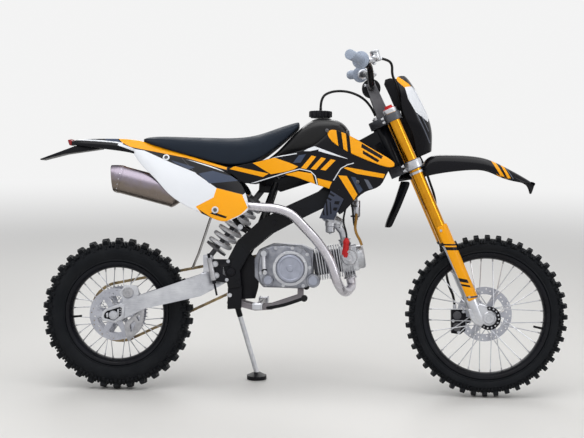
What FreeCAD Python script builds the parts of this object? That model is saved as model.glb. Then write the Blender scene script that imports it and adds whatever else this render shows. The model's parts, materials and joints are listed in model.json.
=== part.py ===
"""Dirt bike with a horizontal engine, standing on its side stand. Millimetres.

Every piece is drawn on an upright bike: X forward from the rear axle, Y to the left, Z up from the
ground. One placement at the end leans the bike onto its stand and moves the origin under its middle.
"""
import FreeCAD, Part
import math
import os
import Sketcher

from FreeCAD import Placement, Rotation, Vector

os.makedirs("parts", exist_ok=True)
doc = FreeCAD.newDocument("dirt_bike")

# %% Driving dimensions

SIZES = {
    # stance
    "wheelbase": 1313,
    "lean_angle": 5.55,
    "running_gap": 5,
    "seat_gap": 0.3,
    # front wheel
    "front_tyre_radius": 287,
    "front_tyre_width": 72,
    "front_bead_radius": 217,
    "front_rim_width": 44,
    "front_hub_width": 136,
    "front_flange_spread": 34,
    "front_flange_radius": 30,
    "front_axle_radius": 10,
    "front_axle_bore": 6,
    "front_spokes": 32,
    "front_lugs": 44,
    # rear wheel
    "rear_tyre_radius": 270,
    "rear_tyre_width": 90,
    "rear_bead_radius": 178,
    "rear_rim_width": 54,
    "rear_hub_width": 136,
    "rear_flange_spread": 35,
    "rear_flange_radius": 34,
    "rear_axle_radius": 8,
    "rear_spokes": 32,
    "rear_lugs": 34,
    # both wheels
    "lug_height": 13,
    "rim_lip": 7,
    "rim_wall": 4,
    "rim_drop": 10,
    "rim_flare": 4.2,
    "spoke_radius": 1.9,
    "hub_nose": 10,
    "disc_thickness": 4,
    "pad_gap": 2,
    # brake discs
    "front_disc_radius": 98,
    "front_disc_offset": 62,
    "rear_disc_radius": 92,
    "rear_disc_offset": 64,
    # steering
    "rake": 24.1,
    "clamp_offset": 50,
    "axle_lead": 32,
    "leg_spread": 95,
    "fork_tube_radius": 22,
    "stanchion_radius": 16.5,
    "fork_top": 768,
    "fork_tube_end": 264,
    "stanchion_end": 24,
    "stem_radius": 15,
    "head_tube_radius": 28,
    "head_length": 150,
    "lower_clamp_height": 556,
    "lower_clamp_depth": 34,
    "upper_clamp_depth": 28,
    "clamp_wall": 9,
    # handlebar
    "bar_radius": 11,
    "bar_rise": 112,
    "bar_ahead": 24,
    "bar_half_width": 385,
    "grip_radius": 17,
    "grip_length": 112,
    "riser_spread": 45,
    "pad_radius": 33,
    # final drive
    "chain_pitch": 12.7,
    "rear_teeth": 47,
    "front_teeth": 15,
    "sprocket_thickness": 6,
    "chain_width": 15,
    "chain_height": 11,
    "chain_line": 60,
    # frame
    "pivot_x": 412,
    "pivot_z": 430,
    "pivot_bolt": 8,
    "spar_spread": 88,
    "spar_width": 28,
    "rail_radius": 9,
    # engine
    "crank_x": 620,
    "crank_z": 446,
    "case_half_width": 68,
    "drive_pocket": 22,
    "cover_depth": 56,
    "clutch_radius": 60,
    "cylinder_tilt": 10,
    "fin_count": 10,
    "fin_pitch": 9,
    "fin_thickness": 3,
    "fin_width": 112,
    "fin_depth": 118,
    # exhaust
    "header_radius": 16.5,
    "silencer_radius": 48,
    "silencer_length": 246,
    # rear suspension
    "arm_spread": 91,
    "arm_width": 24,
    "spring_radius": 37,
    "spring_wire": 5.5,
    "spring_turns": 7,
    "damper_radius": 21,
    # bodywork
    "skin": 4,
    "seat_x": 395,
    "seat_z": 800,
    "tank_x": 700,
    "tank_z": 840,
    "panel_x": 304,
    "panel_drop": 80,
    "shroud_x": 763,
    "shroud_z": 790,
    "cap_radius": 41,
    "hanger_in": 78,
    "hanger_out": 94,
    # side stand
    "stand_x": 412,
    "stand_y": 104,
    "stand_z": 316,
    "stand_bolt": 6,
    "stand_radius": 9,
    "stand_reach": 76,
    "stand_spread": 96,
    "foot_radius": 36,
    "foot_height": 26,
    # footpegs
    "peg_x": 512,
    "peg_z": 344,
    "peg_length": 66,
    # hoses and rear brake
    "hose_radius": 4.5,
    "cylinder_radius": 9,
    "guard_plate": 4,
    "flap_thickness": 3,
}

sheet = doc.addObject("Spreadsheet::Sheet", "dims")
for row, (alias, value) in enumerate(SIZES.items(), start=1):
    sheet.set(f"A{row}", alias)
    sheet.set(f"B{row}", str(value))
    sheet.setAlias(f"B{row}", alias)
doc.recompute()


class Sizes:
    """Reads a cell of the sheet by its alias."""

    def __getattr__(self, alias):
        return float(getattr(sheet, alias))


d = Sizes()
pieces = []


def keep(obj, name):
    """Marks an object of the document as a finished sub-part."""
    obj.Label = name
    pieces.append(obj)
    return obj


def feature(name, shape):
    """A sub-part whose form no sketch or primitive describes."""
    obj = doc.addObject("Part::Feature", name + "_shape")
    obj.Shape = shape
    return keep(obj, name)


# %% Places that several pieces share

def on_plane(x, z, y=0.0):
    return Vector(x, y, z)


def mirrored(point):
    return Vector(point.x, -point.y, point.z)


rake = math.radians(d.rake)
up_fork = Vector(-math.sin(rake), 0, math.cos(rake))
ahead_fork = Vector(math.cos(rake), 0, math.sin(rake))
rear_axle = on_plane(0, d.rear_tyre_radius)
front_axle = on_plane(d.wheelbase, d.front_tyre_radius)
steer_foot = front_axle - Vector((d.clamp_offset + d.axle_lead) / math.cos(rake), 0, 0)


def steer(height, ahead=0.0, side=0.0):
    """A point given along the steering axis, ahead of it, and to the left."""
    return steer_foot + up_fork * height + ahead_fork * ahead + Vector(0, side, 0)


head_low = d.lower_clamp_height + d.lower_clamp_depth / 2 + d.seat_gap
head_high = head_low + d.head_length
upper_clamp_low = head_high + d.seat_gap
pivot = on_plane(d.pivot_x, d.pivot_z)
crank = on_plane(d.crank_x, d.crank_z)
Y_AXIS = Vector(0, 1, 0)
panel_z = d.seat_z - d.panel_drop


# %% Shapes

flat_within = 1e-7


def rod(start, end, radius):
    """A round bar between two points."""
    run = end - start
    return Part.makeCylinder(radius, run.Length, start, run)


def cross_rod(middle, radius, half, other_half=None):
    """A round bar across the bike, from half on the right to other_half on the left."""
    left = half if other_half is None else other_half
    return Part.makeCylinder(radius, half + left, middle - Y_AXIS * half, Y_AXIS)


def ring(middle, outer, inner, half):
    return cross_rod(middle, outer, half).cut(cross_rod(middle, inner, half + 1))


def disc_between(middle, radius, y_from, y_to):
    start = Vector(middle.x, y_from, middle.z)
    return rod(start, Vector(middle.x, y_to, middle.z), radius)


def polygon(points):
    return Part.makePolygon(list(points) + [points[0]])


def slab(outline, y_from, y_to):
    """A plate cut to a side outline of (x, z) points, between two Y values."""
    face = Part.Face(polygon([on_plane(x, z, y_from) for x, z in outline]))
    return face.extrude(Vector(0, y_to - y_from, 0))


def closed(faces):
    """The solid inside faces that meet edge to edge."""
    shell = Part.makeShell(faces)
    shell.sewShape()
    solid = Part.Solid(Part.Shell(shell.Faces))
    if solid.Volume < 0:
        solid.reverse()
    return solid


def patch(corners):
    """A face through four corners: flat where they lie in one plane, or else ruled."""
    first, second, third, fourth = corners
    normal = (second - first).cross(fourth - first)
    normal.normalize()
    if abs((third - first).dot(normal)) < flat_within:
        return Part.Face(polygon(corners))
    return Part.makeRuledSurface(Part.makeLine(first, second), Part.makeLine(fourth, third))


def lofted(sections):
    """A solid through closed sections with as many corners each."""
    faces = [Part.Face(polygon(sections[0])), Part.Face(polygon(sections[-1]))]
    for near, far in zip(sections, sections[1:]):
        for k in range(len(near)):
            on = (k + 1) % len(near)
            faces.append(patch((near[k], near[on], far[on], far[k])))
    return closed(faces)


def beam(stations):
    """A box beam. Columns of a station: x, z, y, depth in the side view, width across."""
    sections = []
    for index, (x, z, y, depth, width) in enumerate(stations):
        before = stations[max(index - 1, 0)]
        after = stations[min(index + 1, len(stations) - 1)]
        run = on_plane(after[0] - before[0], after[1] - before[1])
        run.normalize()
        rise = Vector(-run.z, 0, run.x) * (depth / 2)
        side = Y_AXIS * (width / 2)
        middle = on_plane(x, z, y)
        corners = (middle + rise + side, middle + rise - side, middle - rise - side, middle - rise + side)
        sections.append(corners)
    return lofted(sections)


def bent_path(points, share=0.45):
    """Straight runs joined by tangent arcs, each as large as its runs allow, and the arcs' radii."""
    edges = []
    bends = []
    last = points[0]
    for index in range(1, len(points) - 1):
        corner = points[index]
        back = points[index - 1] - corner
        on = points[index + 1] - corner
        reach = share * min(back.Length, on.Length)
        back.normalize()
        on.normalize()
        half_turn = (math.pi - back.getAngle(on)) / 2
        bend = reach / math.tan(half_turn)
        bends.append(bend)
        towards = back + on
        towards.normalize()
        centre = corner + towards * (bend / math.cos(half_turn))
        enter = corner + back * reach
        leave = corner + on * reach
        edges.append(Part.LineSegment(last, enter).toShape())
        edges.append(Part.Arc(enter, centre - towards * bend, leave).toShape())
        last = leave
    edges.append(Part.LineSegment(last, points[-1]).toShape())
    return Part.Wire(edges), bends


def bent_tube(points, radius, share=0.45):
    path, _ = bent_path(points, share)
    circle = Part.Wire(Part.makeCircle(radius, points[0], points[1] - points[0]))
    return path.makePipeShell([circle], True, False)


def hose(name, points):
    """A hose. Prints its bends, and compares its volume with its section times its length."""
    path, bends = bent_path(points)
    tube = bent_tube(points, d.hose_radius)
    expected = math.pi * d.hose_radius ** 2 * path.Length
    print(name, "cm3", round(tube.Volume / 1000, 2), "expected", round(expected / 1000, 2), "length", round(path.Length))
    print(name, "cm3 bends", [round(bend) for bend in bends])
    if abs(tube.Volume / expected - 1) > 0.01:
        raise RuntimeError(f"{name} has the wrong volume")
    return feature(name, tube)


def channel(sections, skin):
    """An inverted trough. Columns of a section: x, z of the top, z of the edge, half width."""
    rings = []
    for x, top, edge, half in sections:
        slope = min(half * 0.35, (top - edge) * 0.6)
        outer = ((half, edge), (half, top - slope), (half - slope, top))
        inner = ((half - slope - skin * 0.4, top - skin), (half - skin, top - slope - skin * 0.4), (half - skin, edge))
        right = [on_plane(x, z, -y) for y, z in outer]
        left = [on_plane(x, z, y) for y, z in reversed(outer)]
        under = [on_plane(x, z, y) for y, z in reversed(inner)]
        below = [on_plane(x, z, -y) for y, z in inner]
        rings.append(right + left + under + below)
    return lofted(rings)


def skin_panel(sections, skin, side):
    """A thin side panel. Columns: x, z top, z bottom, distance out at the top and at the bottom."""
    rings = []
    for x, top, bottom, out_top, out_bottom in sections:
        middle = (top + bottom) / 2
        out_middle = (out_top + out_bottom) / 2 + (out_bottom - out_top) * 0.12
        rings.append([
            on_plane(x, top, side * out_top),
            on_plane(x, middle, side * out_middle),
            on_plane(x, bottom, side * out_bottom),
            on_plane(x, bottom, side * (out_bottom - skin)),
            on_plane(x, middle, side * (out_middle - skin)),
            on_plane(x, top, side * (out_top - skin)),
        ])
    return lofted(rings)


def both_sides(shape):
    """The shape and its mirror image across the bike's middle plane, as one compound."""
    return Part.makeCompound([shape, shape.mirror(Vector(0, 0, 0), Y_AXIS)])


def sewn(quads):
    """A solid whose flat faces are given by their corners."""
    return closed([Part.Face(polygon(corners)) for corners in quads])


# %% Tyres

def knobby_tyre(centre, section, lug_rows, pitches, height):
    """A tyre with lugs, built sector by sector.

    section: (radius, y) points from bead to bead over the outside.
    lug_rows: for each section edge 0 for none, 1 for a lug in the first half of a pitch, 2 in the second.
    """
    half_lug = 0.55
    angles = []
    for pitch in range(pitches):
        start = (pitch - half_lug / 2) * 2 * math.pi / pitches
        angles.append(start)
        angles.append(start + half_lug * 2 * math.pi / pitches)

    def at(point, angle):
        radius, y = point
        return centre + Vector(radius * math.sin(angle), y, -radius * math.cos(angle))

    tops = []
    for first, second in zip(section, section[1:]):
        run = Vector(second[0] - first[0], second[1] - first[1], 0)
        run.normalize()
        out = (run.y * height, -run.x * height)
        tops.append(tuple((point[0] + out[0], point[1] + out[1]) for point in (first, second)))

    quads = []
    for index, start in enumerate(angles):
        end = angles[(index + 1) % len(angles)]
        for edge, first in enumerate(section):
            second = section[(edge + 1) % len(section)]
            if edge < len(lug_rows) and lug_rows[edge] == index % 2 + 1:
                low, high = tops[edge]
                quads.append((at(low, start), at(high, start), at(high, end), at(low, end)))
                quads.append((at(first, start), at(second, start), at(high, start), at(low, start)))
                quads.append((at(first, end), at(second, end), at(high, end), at(low, end)))
                quads.append((at(first, start), at(low, start), at(low, end), at(first, end)))
                quads.append((at(second, start), at(high, start), at(high, end), at(second, end)))
            else:
                quads.append((at(first, start), at(second, start), at(second, end), at(first, end)))
    return sewn(quads)


def tyre_section(outer, bead, width, rim_width):
    """Carcass points from the right bead to the left one, and the rows that carry lugs."""
    crown = outer - d.lug_height
    half = width / 2 - 2
    points = (
        (bead, -rim_width / 2),
        (bead + (crown - bead) * 0.45, -half),
        (crown - 22, -half + 6),
        (crown - 6, -half * 0.55),
        (crown - 1, -half * 0.30),
        (crown - 1, half * 0.30),
        (crown - 6, half * 0.55),
        (crown - 22, half - 6),
        (bead + (crown - bead) * 0.45, half),
        (bead, rim_width / 2),
    )
    rows = (0, 0, 2, 0, 1, 0, 2, 0, 0)
    return points, rows


def tyre(name, centre, outer, bead, width, rim_width, lugs):
    section, rows = tyre_section(outer + 1, bead, width, rim_width)
    return feature(name, knobby_tyre(centre, section, rows, int(lugs), d.lug_height))


front_tyre = tyre(
    "front_tyre", front_axle, d.front_tyre_radius, d.front_bead_radius,
    d.front_tyre_width, d.front_rim_width, d.front_lugs,
)
rear_tyre = tyre(
    "rear_tyre", rear_axle, d.rear_tyre_radius, d.rear_bead_radius,
    d.rear_tyre_width, d.rear_rim_width, d.rear_lugs,
)


# %% Sketched bodies

def sketched(body, name, plane, points, offset="0"):
    """A closed outline whose corners are bound to expressions of the sheet."""
    origin = next(item for item in body.Origin.OriginFeatures if item.Role == plane)
    sketch = body.newObject("Sketcher::SketchObject", name)
    sketch.AttachmentSupport = (origin, [""])
    sketch.MapMode = "FlatFace"
    sketch.setExpression("AttachmentOffset.Base.z", offset)
    count = len(points)
    corners = [Vector(10 * math.cos(k), 10 * math.sin(k), 0) for k in range(count)]
    for k in range(count):
        sketch.addGeometry(Part.LineSegment(corners[k], corners[(k + 1) % count]), False)
    for k in range(count):
        sketch.addConstraint(Sketcher.Constraint("Coincident", k, 2, (k + 1) % count, 1))
    for k, (across, along) in enumerate(points):
        for kind, expression in (("DistanceX", across), ("DistanceY", along)):
            index = sketch.addConstraint(Sketcher.Constraint(kind, -1, 1, k, 1, 1.0))
            sketch.setExpression(f"Constraints[{index}]", expression)
    return sketch


def turned_body(name, points, centre):
    """A body turned round the wheel's axle. Points are (radius, y) expressions."""
    body = doc.addObject("PartDesign::Body", name + "_body")
    sketch = sketched(body, name + "_profile", "XY_Plane", points)
    turn = body.newObject("PartDesign::Revolution", name + "_turn")
    turn.Profile = sketch
    turn.ReferenceAxis = (sketch, ["V_Axis"])
    turn.Angle = 360
    body.Placement = Placement(centre, Rotation())
    return body


def rim(name, centre, wheel):
    """A spoked wheel's rim: two lips, the bead seats and a dropped well between them."""
    bead = f"dims.{wheel}_bead_radius - dims.seat_gap"
    half = f"dims.{wheel}_rim_width / 2"
    wall = "dims.rim_wall"
    lip = f"{bead} + dims.rim_lip"
    well = f"{bead} - dims.rim_drop"
    over = f"{half} + dims.seat_gap"
    flare = "dims.rim_flare"
    points = (
        (lip, f"-({over}) - {flare}"),
        (bead, f"-({over})"),
        (bead, f"-({half}) * 0.55"),
        (well, f"-({half}) * 0.35"),
        (well, f"({half}) * 0.35"),
        (bead, f"({half}) * 0.55"),
        (bead, over),
        (lip, f"{over} + {flare}"),
        (lip, f"{over} + {flare} + {wall}"),
        (f"{bead} - {wall}", f"{over} + {wall}"),
        (f"{well} - {wall}", f"({half}) * 0.4"),
        (f"{well} - {wall}", f"-({half}) * 0.4"),
        (f"{bead} - {wall}", f"-({over}) - {wall}"),
        (lip, f"-({over}) - {flare} - {wall}"),
    )
    return keep(turned_body(name, points, centre), name)


front_rim = rim("front_rim", front_axle, "front")
rear_rim = rim("rear_rim", rear_axle, "rear")


def hexagon(direction, radius):
    """Corners of a hexagon square to a direction."""
    along = Vector(direction)
    along.normalize()
    side = along.cross(Y_AXIS)
    side.normalize()
    other = along.cross(side)
    turns = [k * math.pi / 3 for k in range(6)]
    return [side * (radius * math.cos(turn)) + other * (radius * math.sin(turn)) for turn in turns]


def spokes(count, flange_radius, flange_y, rim_radius):
    """Crossed spokes from the two flanges of a hub to the rim's well, round the origin."""
    rods = []
    for index in range(int(count)):
        side = 1 if index % 2 else -1
        lean = 1 if index % 4 < 2 else -1
        angle = 2 * math.pi * (index + 0.5) / count
        root = angle + lean * math.radians(62)
        y = side * (flange_y + lean * 2.2)
        start = Vector(flange_radius * math.sin(root), y, flange_radius * math.cos(root))
        end = Vector(rim_radius * math.sin(angle), side * 5, rim_radius * math.cos(angle))
        corners = [start + turn for turn in hexagon(end - start, d.spoke_radius)]
        rods.append(Part.Face(polygon(corners)).extrude(end - start))
    return rods


def hub(name, wheel, centre):
    """A turned hub with two flanges and the spokes that it carries."""
    bore = f"dims.{wheel}_axle_radius + dims.seat_gap"
    half = f"dims.{wheel}_hub_width / 2"
    flange = f"dims.{wheel}_flange_radius"
    nose = f"{bore} + dims.hub_nose"
    spread = f"dims.{wheel}_flange_spread"
    points = (
        (bore, f"-({half})"),
        (nose, f"-({half})"),
        (nose, f"-{spread} - 5"),
        (flange, f"-{spread} - 4"),
        (flange, f"-{spread} + 3"),
        (f"{bore} + 7", f"-{spread} + 9"),
        (f"{bore} + 7", f"{spread} - 9"),
        (flange, f"{spread} - 3"),
        (flange, f"{spread} + 4"),
        (nose, f"{spread} + 5"),
        (nose, half),
        (bore, half),
    )
    barrel = turned_body(name, points, Vector(0, 0, 0))
    flange_radius = getattr(d, wheel + "_flange_radius") - 4
    flange_y = getattr(d, wheel + "_flange_spread")
    rim_radius = getattr(d, wheel + "_bead_radius") - d.rim_drop - d.rim_wall - 1 - d.seat_gap
    laced = doc.addObject("Part::Feature", name + "_spokes")
    laced.Shape = Part.makeCompound(spokes(getattr(d, wheel + "_spokes"), flange_radius, flange_y, rim_radius))
    whole = doc.addObject("Part::MultiFuse", name + "_whole")
    whole.Shapes = [barrel, laced]
    whole.Placement = Placement(centre, Rotation())
    return keep(whole, name)


front_hub = hub("front_hub", "front", front_axle)
rear_hub = hub("rear_hub", "rear", rear_axle)


def padded_body(name, points, offset, depth, plane="XZ_Plane"):
    """A body padded from a side outline; offset and depth are expressions, both towards the right side."""
    body = doc.addObject("PartDesign::Body", name + "_body")
    sketch = sketched(body, name + "_outline", plane, points, offset)
    pad = body.newObject("PartDesign::Pad", name + "_pad")
    pad.Profile = sketch
    pad.setExpression("Length", depth)
    return body


def window_cut(body, name, points, offset, depth, copies):
    """Cuts one window through a padded disc and repeats it round the Y axis."""
    sketch = sketched(body, name + "_window", "XZ_Plane", points, offset)
    pocket = body.newObject("PartDesign::Pocket", name + "_pocket")
    pocket.Profile = sketch
    pocket.Midplane = True
    pocket.setExpression("Length", f"2 * ({depth})")
    doc.recompute()
    pattern = body.newObject("PartDesign::PolarPattern", name + "_pattern")
    pattern.Originals = [pocket]
    pattern.Axis = (next(item for item in body.Origin.OriginFeatures if item.Role == "Y_Axis"), [""])
    pattern.Angle = 360
    pattern.Occurrences = copies
    body.Tip = pattern


def brake_disc(name, wheel, centre, side):
    """A brake disc with windows between its arms. Side is 1 on the left and -1 on the right."""
    outer = f"dims.{wheel}_disc_radius"
    inner = f"(dims.{wheel}_axle_radius + 2 * dims.seat_gap + dims.hub_nose)"
    near = f"({side} * dims.{wheel}_disc_offset - dims.disc_thickness / 2)"
    far = f"({side} * dims.{wheel}_disc_offset + dims.disc_thickness / 2)"
    points = ((inner, near), (outer, near), (outer, far), (inner, far))
    body = turned_body(name, points, centre)
    doc.recompute()
    band = f"({outer} - 26)"
    foot = f"({inner} + 14)"
    corners = []
    for radius, degrees in ((foot, -14), (foot, 14), (band, 22), (band, 0), (band, -22)):
        corners.append((f"{radius} * sin({degrees} deg)", f"{radius} * cos({degrees} deg)"))
    offset = f"-({side}) * dims.{wheel}_disc_offset"
    window_cut(body, name, corners, offset, "dims.disc_thickness", 6)
    return keep(body, name)


front_disc = brake_disc("front_disc", "front", front_axle, 1)
rear_disc = brake_disc("rear_disc", "rear", rear_axle, -1)


# %% Final drive

def pitch_radius(teeth):
    return d.chain_pitch / (2 * math.sin(math.pi / teeth))


rear_pitch = pitch_radius(d.rear_teeth)
front_pitch = pitch_radius(d.front_teeth)
drive_shaft = on_plane(d.pivot_x + 90, d.pivot_z + 12)


def tooth_outline(teeth, tip, root):
    """A sprocket's outline as flat-topped teeth."""
    corners = []
    for tooth in range(int(teeth)):
        middle = 2 * math.pi * tooth / teeth
        for radius, share in ((root, -0.30), (tip, -0.12), (tip, 0.12), (root, 0.30)):
            angle = middle + share * 2 * math.pi / teeth
            corners.append((radius * math.sin(angle), radius * math.cos(angle)))
    return corners


def sprocket(name, centre, teeth, bore, windows):
    tip = pitch_radius(teeth) + 2.5
    outline = [(centre.x + x, centre.z + z) for x, z in tooth_outline(teeth, tip, tip - 7)]
    half = d.sprocket_thickness / 2
    plate = slab(outline, d.chain_line - half, d.chain_line + half)
    middle = centre + Y_AXIS * d.chain_line
    cuts = [cross_rod(middle, bore, half + 1)]
    for k in range(windows):
        angle = 2 * math.pi * k / windows
        near, far, wide = bore + 12, tip - 20, math.pi / windows * 0.62
        corners = []
        for radius, turn in ((near, -wide), (near, wide), (far, wide), (far, 0), (far, -wide)):
            corners.append((
                centre.x + radius * math.sin(angle + turn), centre.z + radius * math.cos(angle + turn)
            ))
        cuts.append(slab(corners, d.chain_line - half - 1, d.chain_line + half + 1))
    return feature(name, plate.cut(Part.makeCompound(cuts)))


tooth_height = 2.5
chain_clear = tooth_height + 2 + d.chain_height / 2
rear_bore = d.rear_axle_radius + d.hub_nose + 2 * d.seat_gap
rear_sprocket = sprocket("rear_sprocket", rear_axle, d.rear_teeth, rear_bore, 6)


def front_sprocket():
    """The gearbox sprocket on its shaft's end; its teeth reach up to the chain."""
    belt = front_pitch + chain_clear
    tip = (belt - d.chain_height / 2) * math.cos(d.chain_pitch / belt / 2) - d.seat_gap
    outline = [(drive_shaft.x + x, drive_shaft.z + z) for x, z in tooth_outline(d.front_teeth, tip, tip - 8)]
    half = d.sprocket_thickness / 2
    plate = slab(outline, d.chain_line - half, d.chain_line + half)
    shaft = disc_between(drive_shaft, 9, d.case_half_width - d.drive_pocket + d.seat_gap, d.chain_line + half + 5)
    return plate.fuse(shaft)


def chain_path(rear_radius, front_radius):
    """Points of a belt line round both sprockets, one to a chain pitch, as (x, z) with the outward way."""
    run = drive_shaft - rear_axle
    distance = run.Length
    base = math.atan2(run.z, run.x)
    tilt = math.acos((rear_radius - front_radius) / distance)
    straight = math.sqrt(distance ** 2 - (rear_radius - front_radius) ** 2)
    rear_wrap = 2 * (math.pi - tilt)
    front_wrap = 2 * tilt
    total = 2 * straight + rear_radius * rear_wrap + front_radius * front_wrap
    links = 2 * round(total / d.chain_pitch / 2)
    points = []
    for link in range(links):
        length = total * link / links
        if length < straight:
            way = base + tilt
            foot = rear_axle + Vector(math.cos(way), 0, math.sin(way)) * rear_radius
            along = Vector(math.cos(way - math.pi / 2), 0, math.sin(way - math.pi / 2))
            point = foot + along * length
        elif length < straight + front_radius * front_wrap:
            way = base + tilt - (length - straight) / front_radius
            point = drive_shaft + Vector(math.cos(way), 0, math.sin(way)) * front_radius
        elif length < 2 * straight + front_radius * front_wrap:
            way = base - tilt
            foot = drive_shaft + Vector(math.cos(way), 0, math.sin(way)) * front_radius
            along = Vector(math.cos(way - math.pi / 2), 0, math.sin(way - math.pi / 2))
            point = foot + along * (length - straight - front_radius * front_wrap)
        else:
            way = base - tilt - (length - 2 * straight - front_radius * front_wrap) / rear_radius
            point = rear_axle + Vector(math.cos(way), 0, math.sin(way)) * rear_radius
        points.append((point, Vector(math.cos(way), 0, math.sin(way))))
    return points


def chain(name):
    """A closed loop, waisted at every second joint, that runs just outside the teeth."""
    points = chain_path(rear_pitch + chain_clear, front_pitch + chain_clear)
    faces = []
    rise = d.chain_height / 2
    widths = (d.chain_width / 2, d.chain_width / 2 - 3.5)
    rings = []
    for index, (point, out) in enumerate(points):
        middle = point + Y_AXIS * d.chain_line
        side = Y_AXIS * widths[index % 2]
        rings.append((
            middle + out * rise - side, middle + out * rise + side,
            middle - out * rise + side, middle - out * rise - side,
        ))
    for first, second in zip(rings, rings[1:] + rings[:1]):
        faces.append((first[0], first[1], second[1], second[0]))
        faces.append((first[2], first[3], second[3], second[2]))
        for low, high in ((1, 2), (3, 0)):
            faces.append((first[low], first[high], second[low]))
            faces.append((first[high], second[high], second[low]))
    return feature(name, sewn(faces))


drive_chain = chain("drive_chain")
feature("front_sprocket", front_sprocket())


# %% Frame

TANK_STATIONS = (
    # x, floor, shoulder, top: offsets from the tank's datum; half width
    (-178, -26, -20, -16, 60),
    (-107, -12, 30, 50, 76),
    (-47, -4, 84, 108, 88),
    (-12, 4, 96, 138, 92),
    (66, 18, 98, 138, 90),
    (98, 36, 92, 122, 80),
    (122, 52, 76, 90, 62),
)

def spar_stations(side):
    """Stations of one main spar from the head tube to below the swingarm pivot."""
    head = steer(head_low + d.head_length * 0.40)
    spread = d.spar_spread
    return (
        (head.x - 16, head.z, side * 22, 76, 20),
        (head.x - 108, head.z - 62, side * (spread - 38), 66, 24),
        (d.pivot_x + 318, d.pivot_z + 262, side * (spread - 4), 60, 28),
        (d.pivot_x + 200, d.pivot_z + 204, side * spread, 62, d.spar_width),
        (d.pivot_x + 118, d.pivot_z + 158, side * spread, 62, d.spar_width),
        (d.pivot_x + 44, d.pivot_z + 92, side * spread, 58, d.spar_width),
        (d.pivot_x + 2, d.pivot_z + 10, side * spread, 58, d.spar_width),
        (d.pivot_x + 14, d.pivot_z - 56, side * spread, 46, d.spar_width),
    )


shock_top = on_plane(d.pivot_x + 105, d.pivot_z + 297)
shock_bottom = on_plane(d.pivot_x - 92, d.pivot_z + 40)
eye_half = 12


coil_tube = steer(head_low + d.head_length * 0.40) + Vector(-108, 0, -70)
coil_tube_radius = 10


def tank_floor(x):
    """Height of the tank's floor at a place along the bike."""
    rows = [(d.tank_x + row[0], d.tank_z + row[1]) for row in TANK_STATIONS]
    for (x0, z0), (x1, z1) in zip(rows, rows[1:]):
        if x0 <= x <= x1:
            return z0 + (z1 - z0) * (x - x0) / (x1 - x0)
    return rows[-1][1]


def frame():
    inside = d.spar_spread - d.spar_width / 2
    tube = rod(steer(head_low), steer(head_high), d.head_tube_radius)
    bore = rod(steer(head_low - 1), steer(head_high + 1), d.stem_radius + 0.5)
    head = steer(head_low + d.head_length * 0.72)
    backbone = beam((
        (head.x - 14, head.z, 0, 62, 44),
        (d.pivot_x + 428, d.pivot_z + 430, 0, 58, 50),
        (d.pivot_x + 290, d.pivot_z + 352, 0, 50, 50),
        (d.pivot_x + 160, d.pivot_z + 306, 0, 46, 60),
        (shock_top.x + 32, shock_top.z + 24, 0, 40, 60),
    ))
    cheeks = []
    for side in (-1, 1):
        inner = side * (eye_half + d.seat_gap)
        outline = (
            (shock_top.x + 44, shock_top.z + 38), (shock_top.x - 16, shock_top.z + 26),
            (shock_top.x - 18, shock_top.z - 16), (shock_top.x + 20, shock_top.z - 18),
            (shock_top.x + 60, shock_top.z + 6),
        )
        cheeks.append(slab(outline, inner, inner + side * 8))
    rear_x, fore_x = d.tank_x - 10, d.tank_x + 20
    saddle = slab((
        (rear_x, tank_floor(rear_x) - 44), (fore_x, tank_floor(fore_x) - 40),
        (fore_x, tank_floor(fore_x) - d.seat_gap), (rear_x, tank_floor(rear_x) - d.seat_gap),
    ), -25, 25)
    struts = []
    for side in (-1, 1):
        top = on_plane(shock_top.x + 44, shock_top.z + 18, side * 22)
        foot = on_plane(d.pivot_x + 88, d.pivot_z + 132, side * d.spar_spread)
        struts.append(rod(top, foot, 12))
    crossings = [
        cross_rod(pivot, d.pivot_bolt, d.spar_spread + d.spar_width / 2 + 8),
        cross_rod(on_plane(d.pivot_x + 6, d.pivot_z - 40), 9, inside + 2),
        cross_rod(on_plane(d.pivot_x + 150, d.pivot_z + 176), 11, inside + 2),
        cross_rod(shock_top, 6, eye_half + 12),
        cross_rod(coil_tube, coil_tube_radius, 38),
    ]
    spars = [beam(spar_stations(side)) for side in (-1, 1)]
    whole = tube.multiFuse([backbone, saddle] + cheeks + struts + crossings + spars)
    return whole.cut(bore).removeSplitter()


main_frame = feature("main_frame", frame())


# the rear fender comes first here because the rails' blocks reach up to its deck
FENDER_STATIONS = (
    # x, top, edge: offsets from the seat's datum; half width
    (-566, 84, 68, 44),
    (-488, 93, 66, 68),
    (-404, 94, 58, 84),
    (-310, 87, 34, 94),
    (-243, 66, 20, 100),
    (-101, 28, -6, 110),
    (0, 2, -28, 114),
    (100, 18, -30, 114),
)


def fender_deck(x):
    """Height of the underside of the rear fender's deck at a distance from the seat's datum."""
    for (x0, z0, _, _), (x1, z1, _, _) in zip(FENDER_STATIONS, FENDER_STATIONS[1:]):
        if x0 <= x <= x1:
            return d.seat_z + z0 + (z1 - z0) * (x - x0) / (x1 - x0) - d.seat_gap - d.skin
    return d.seat_z


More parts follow.
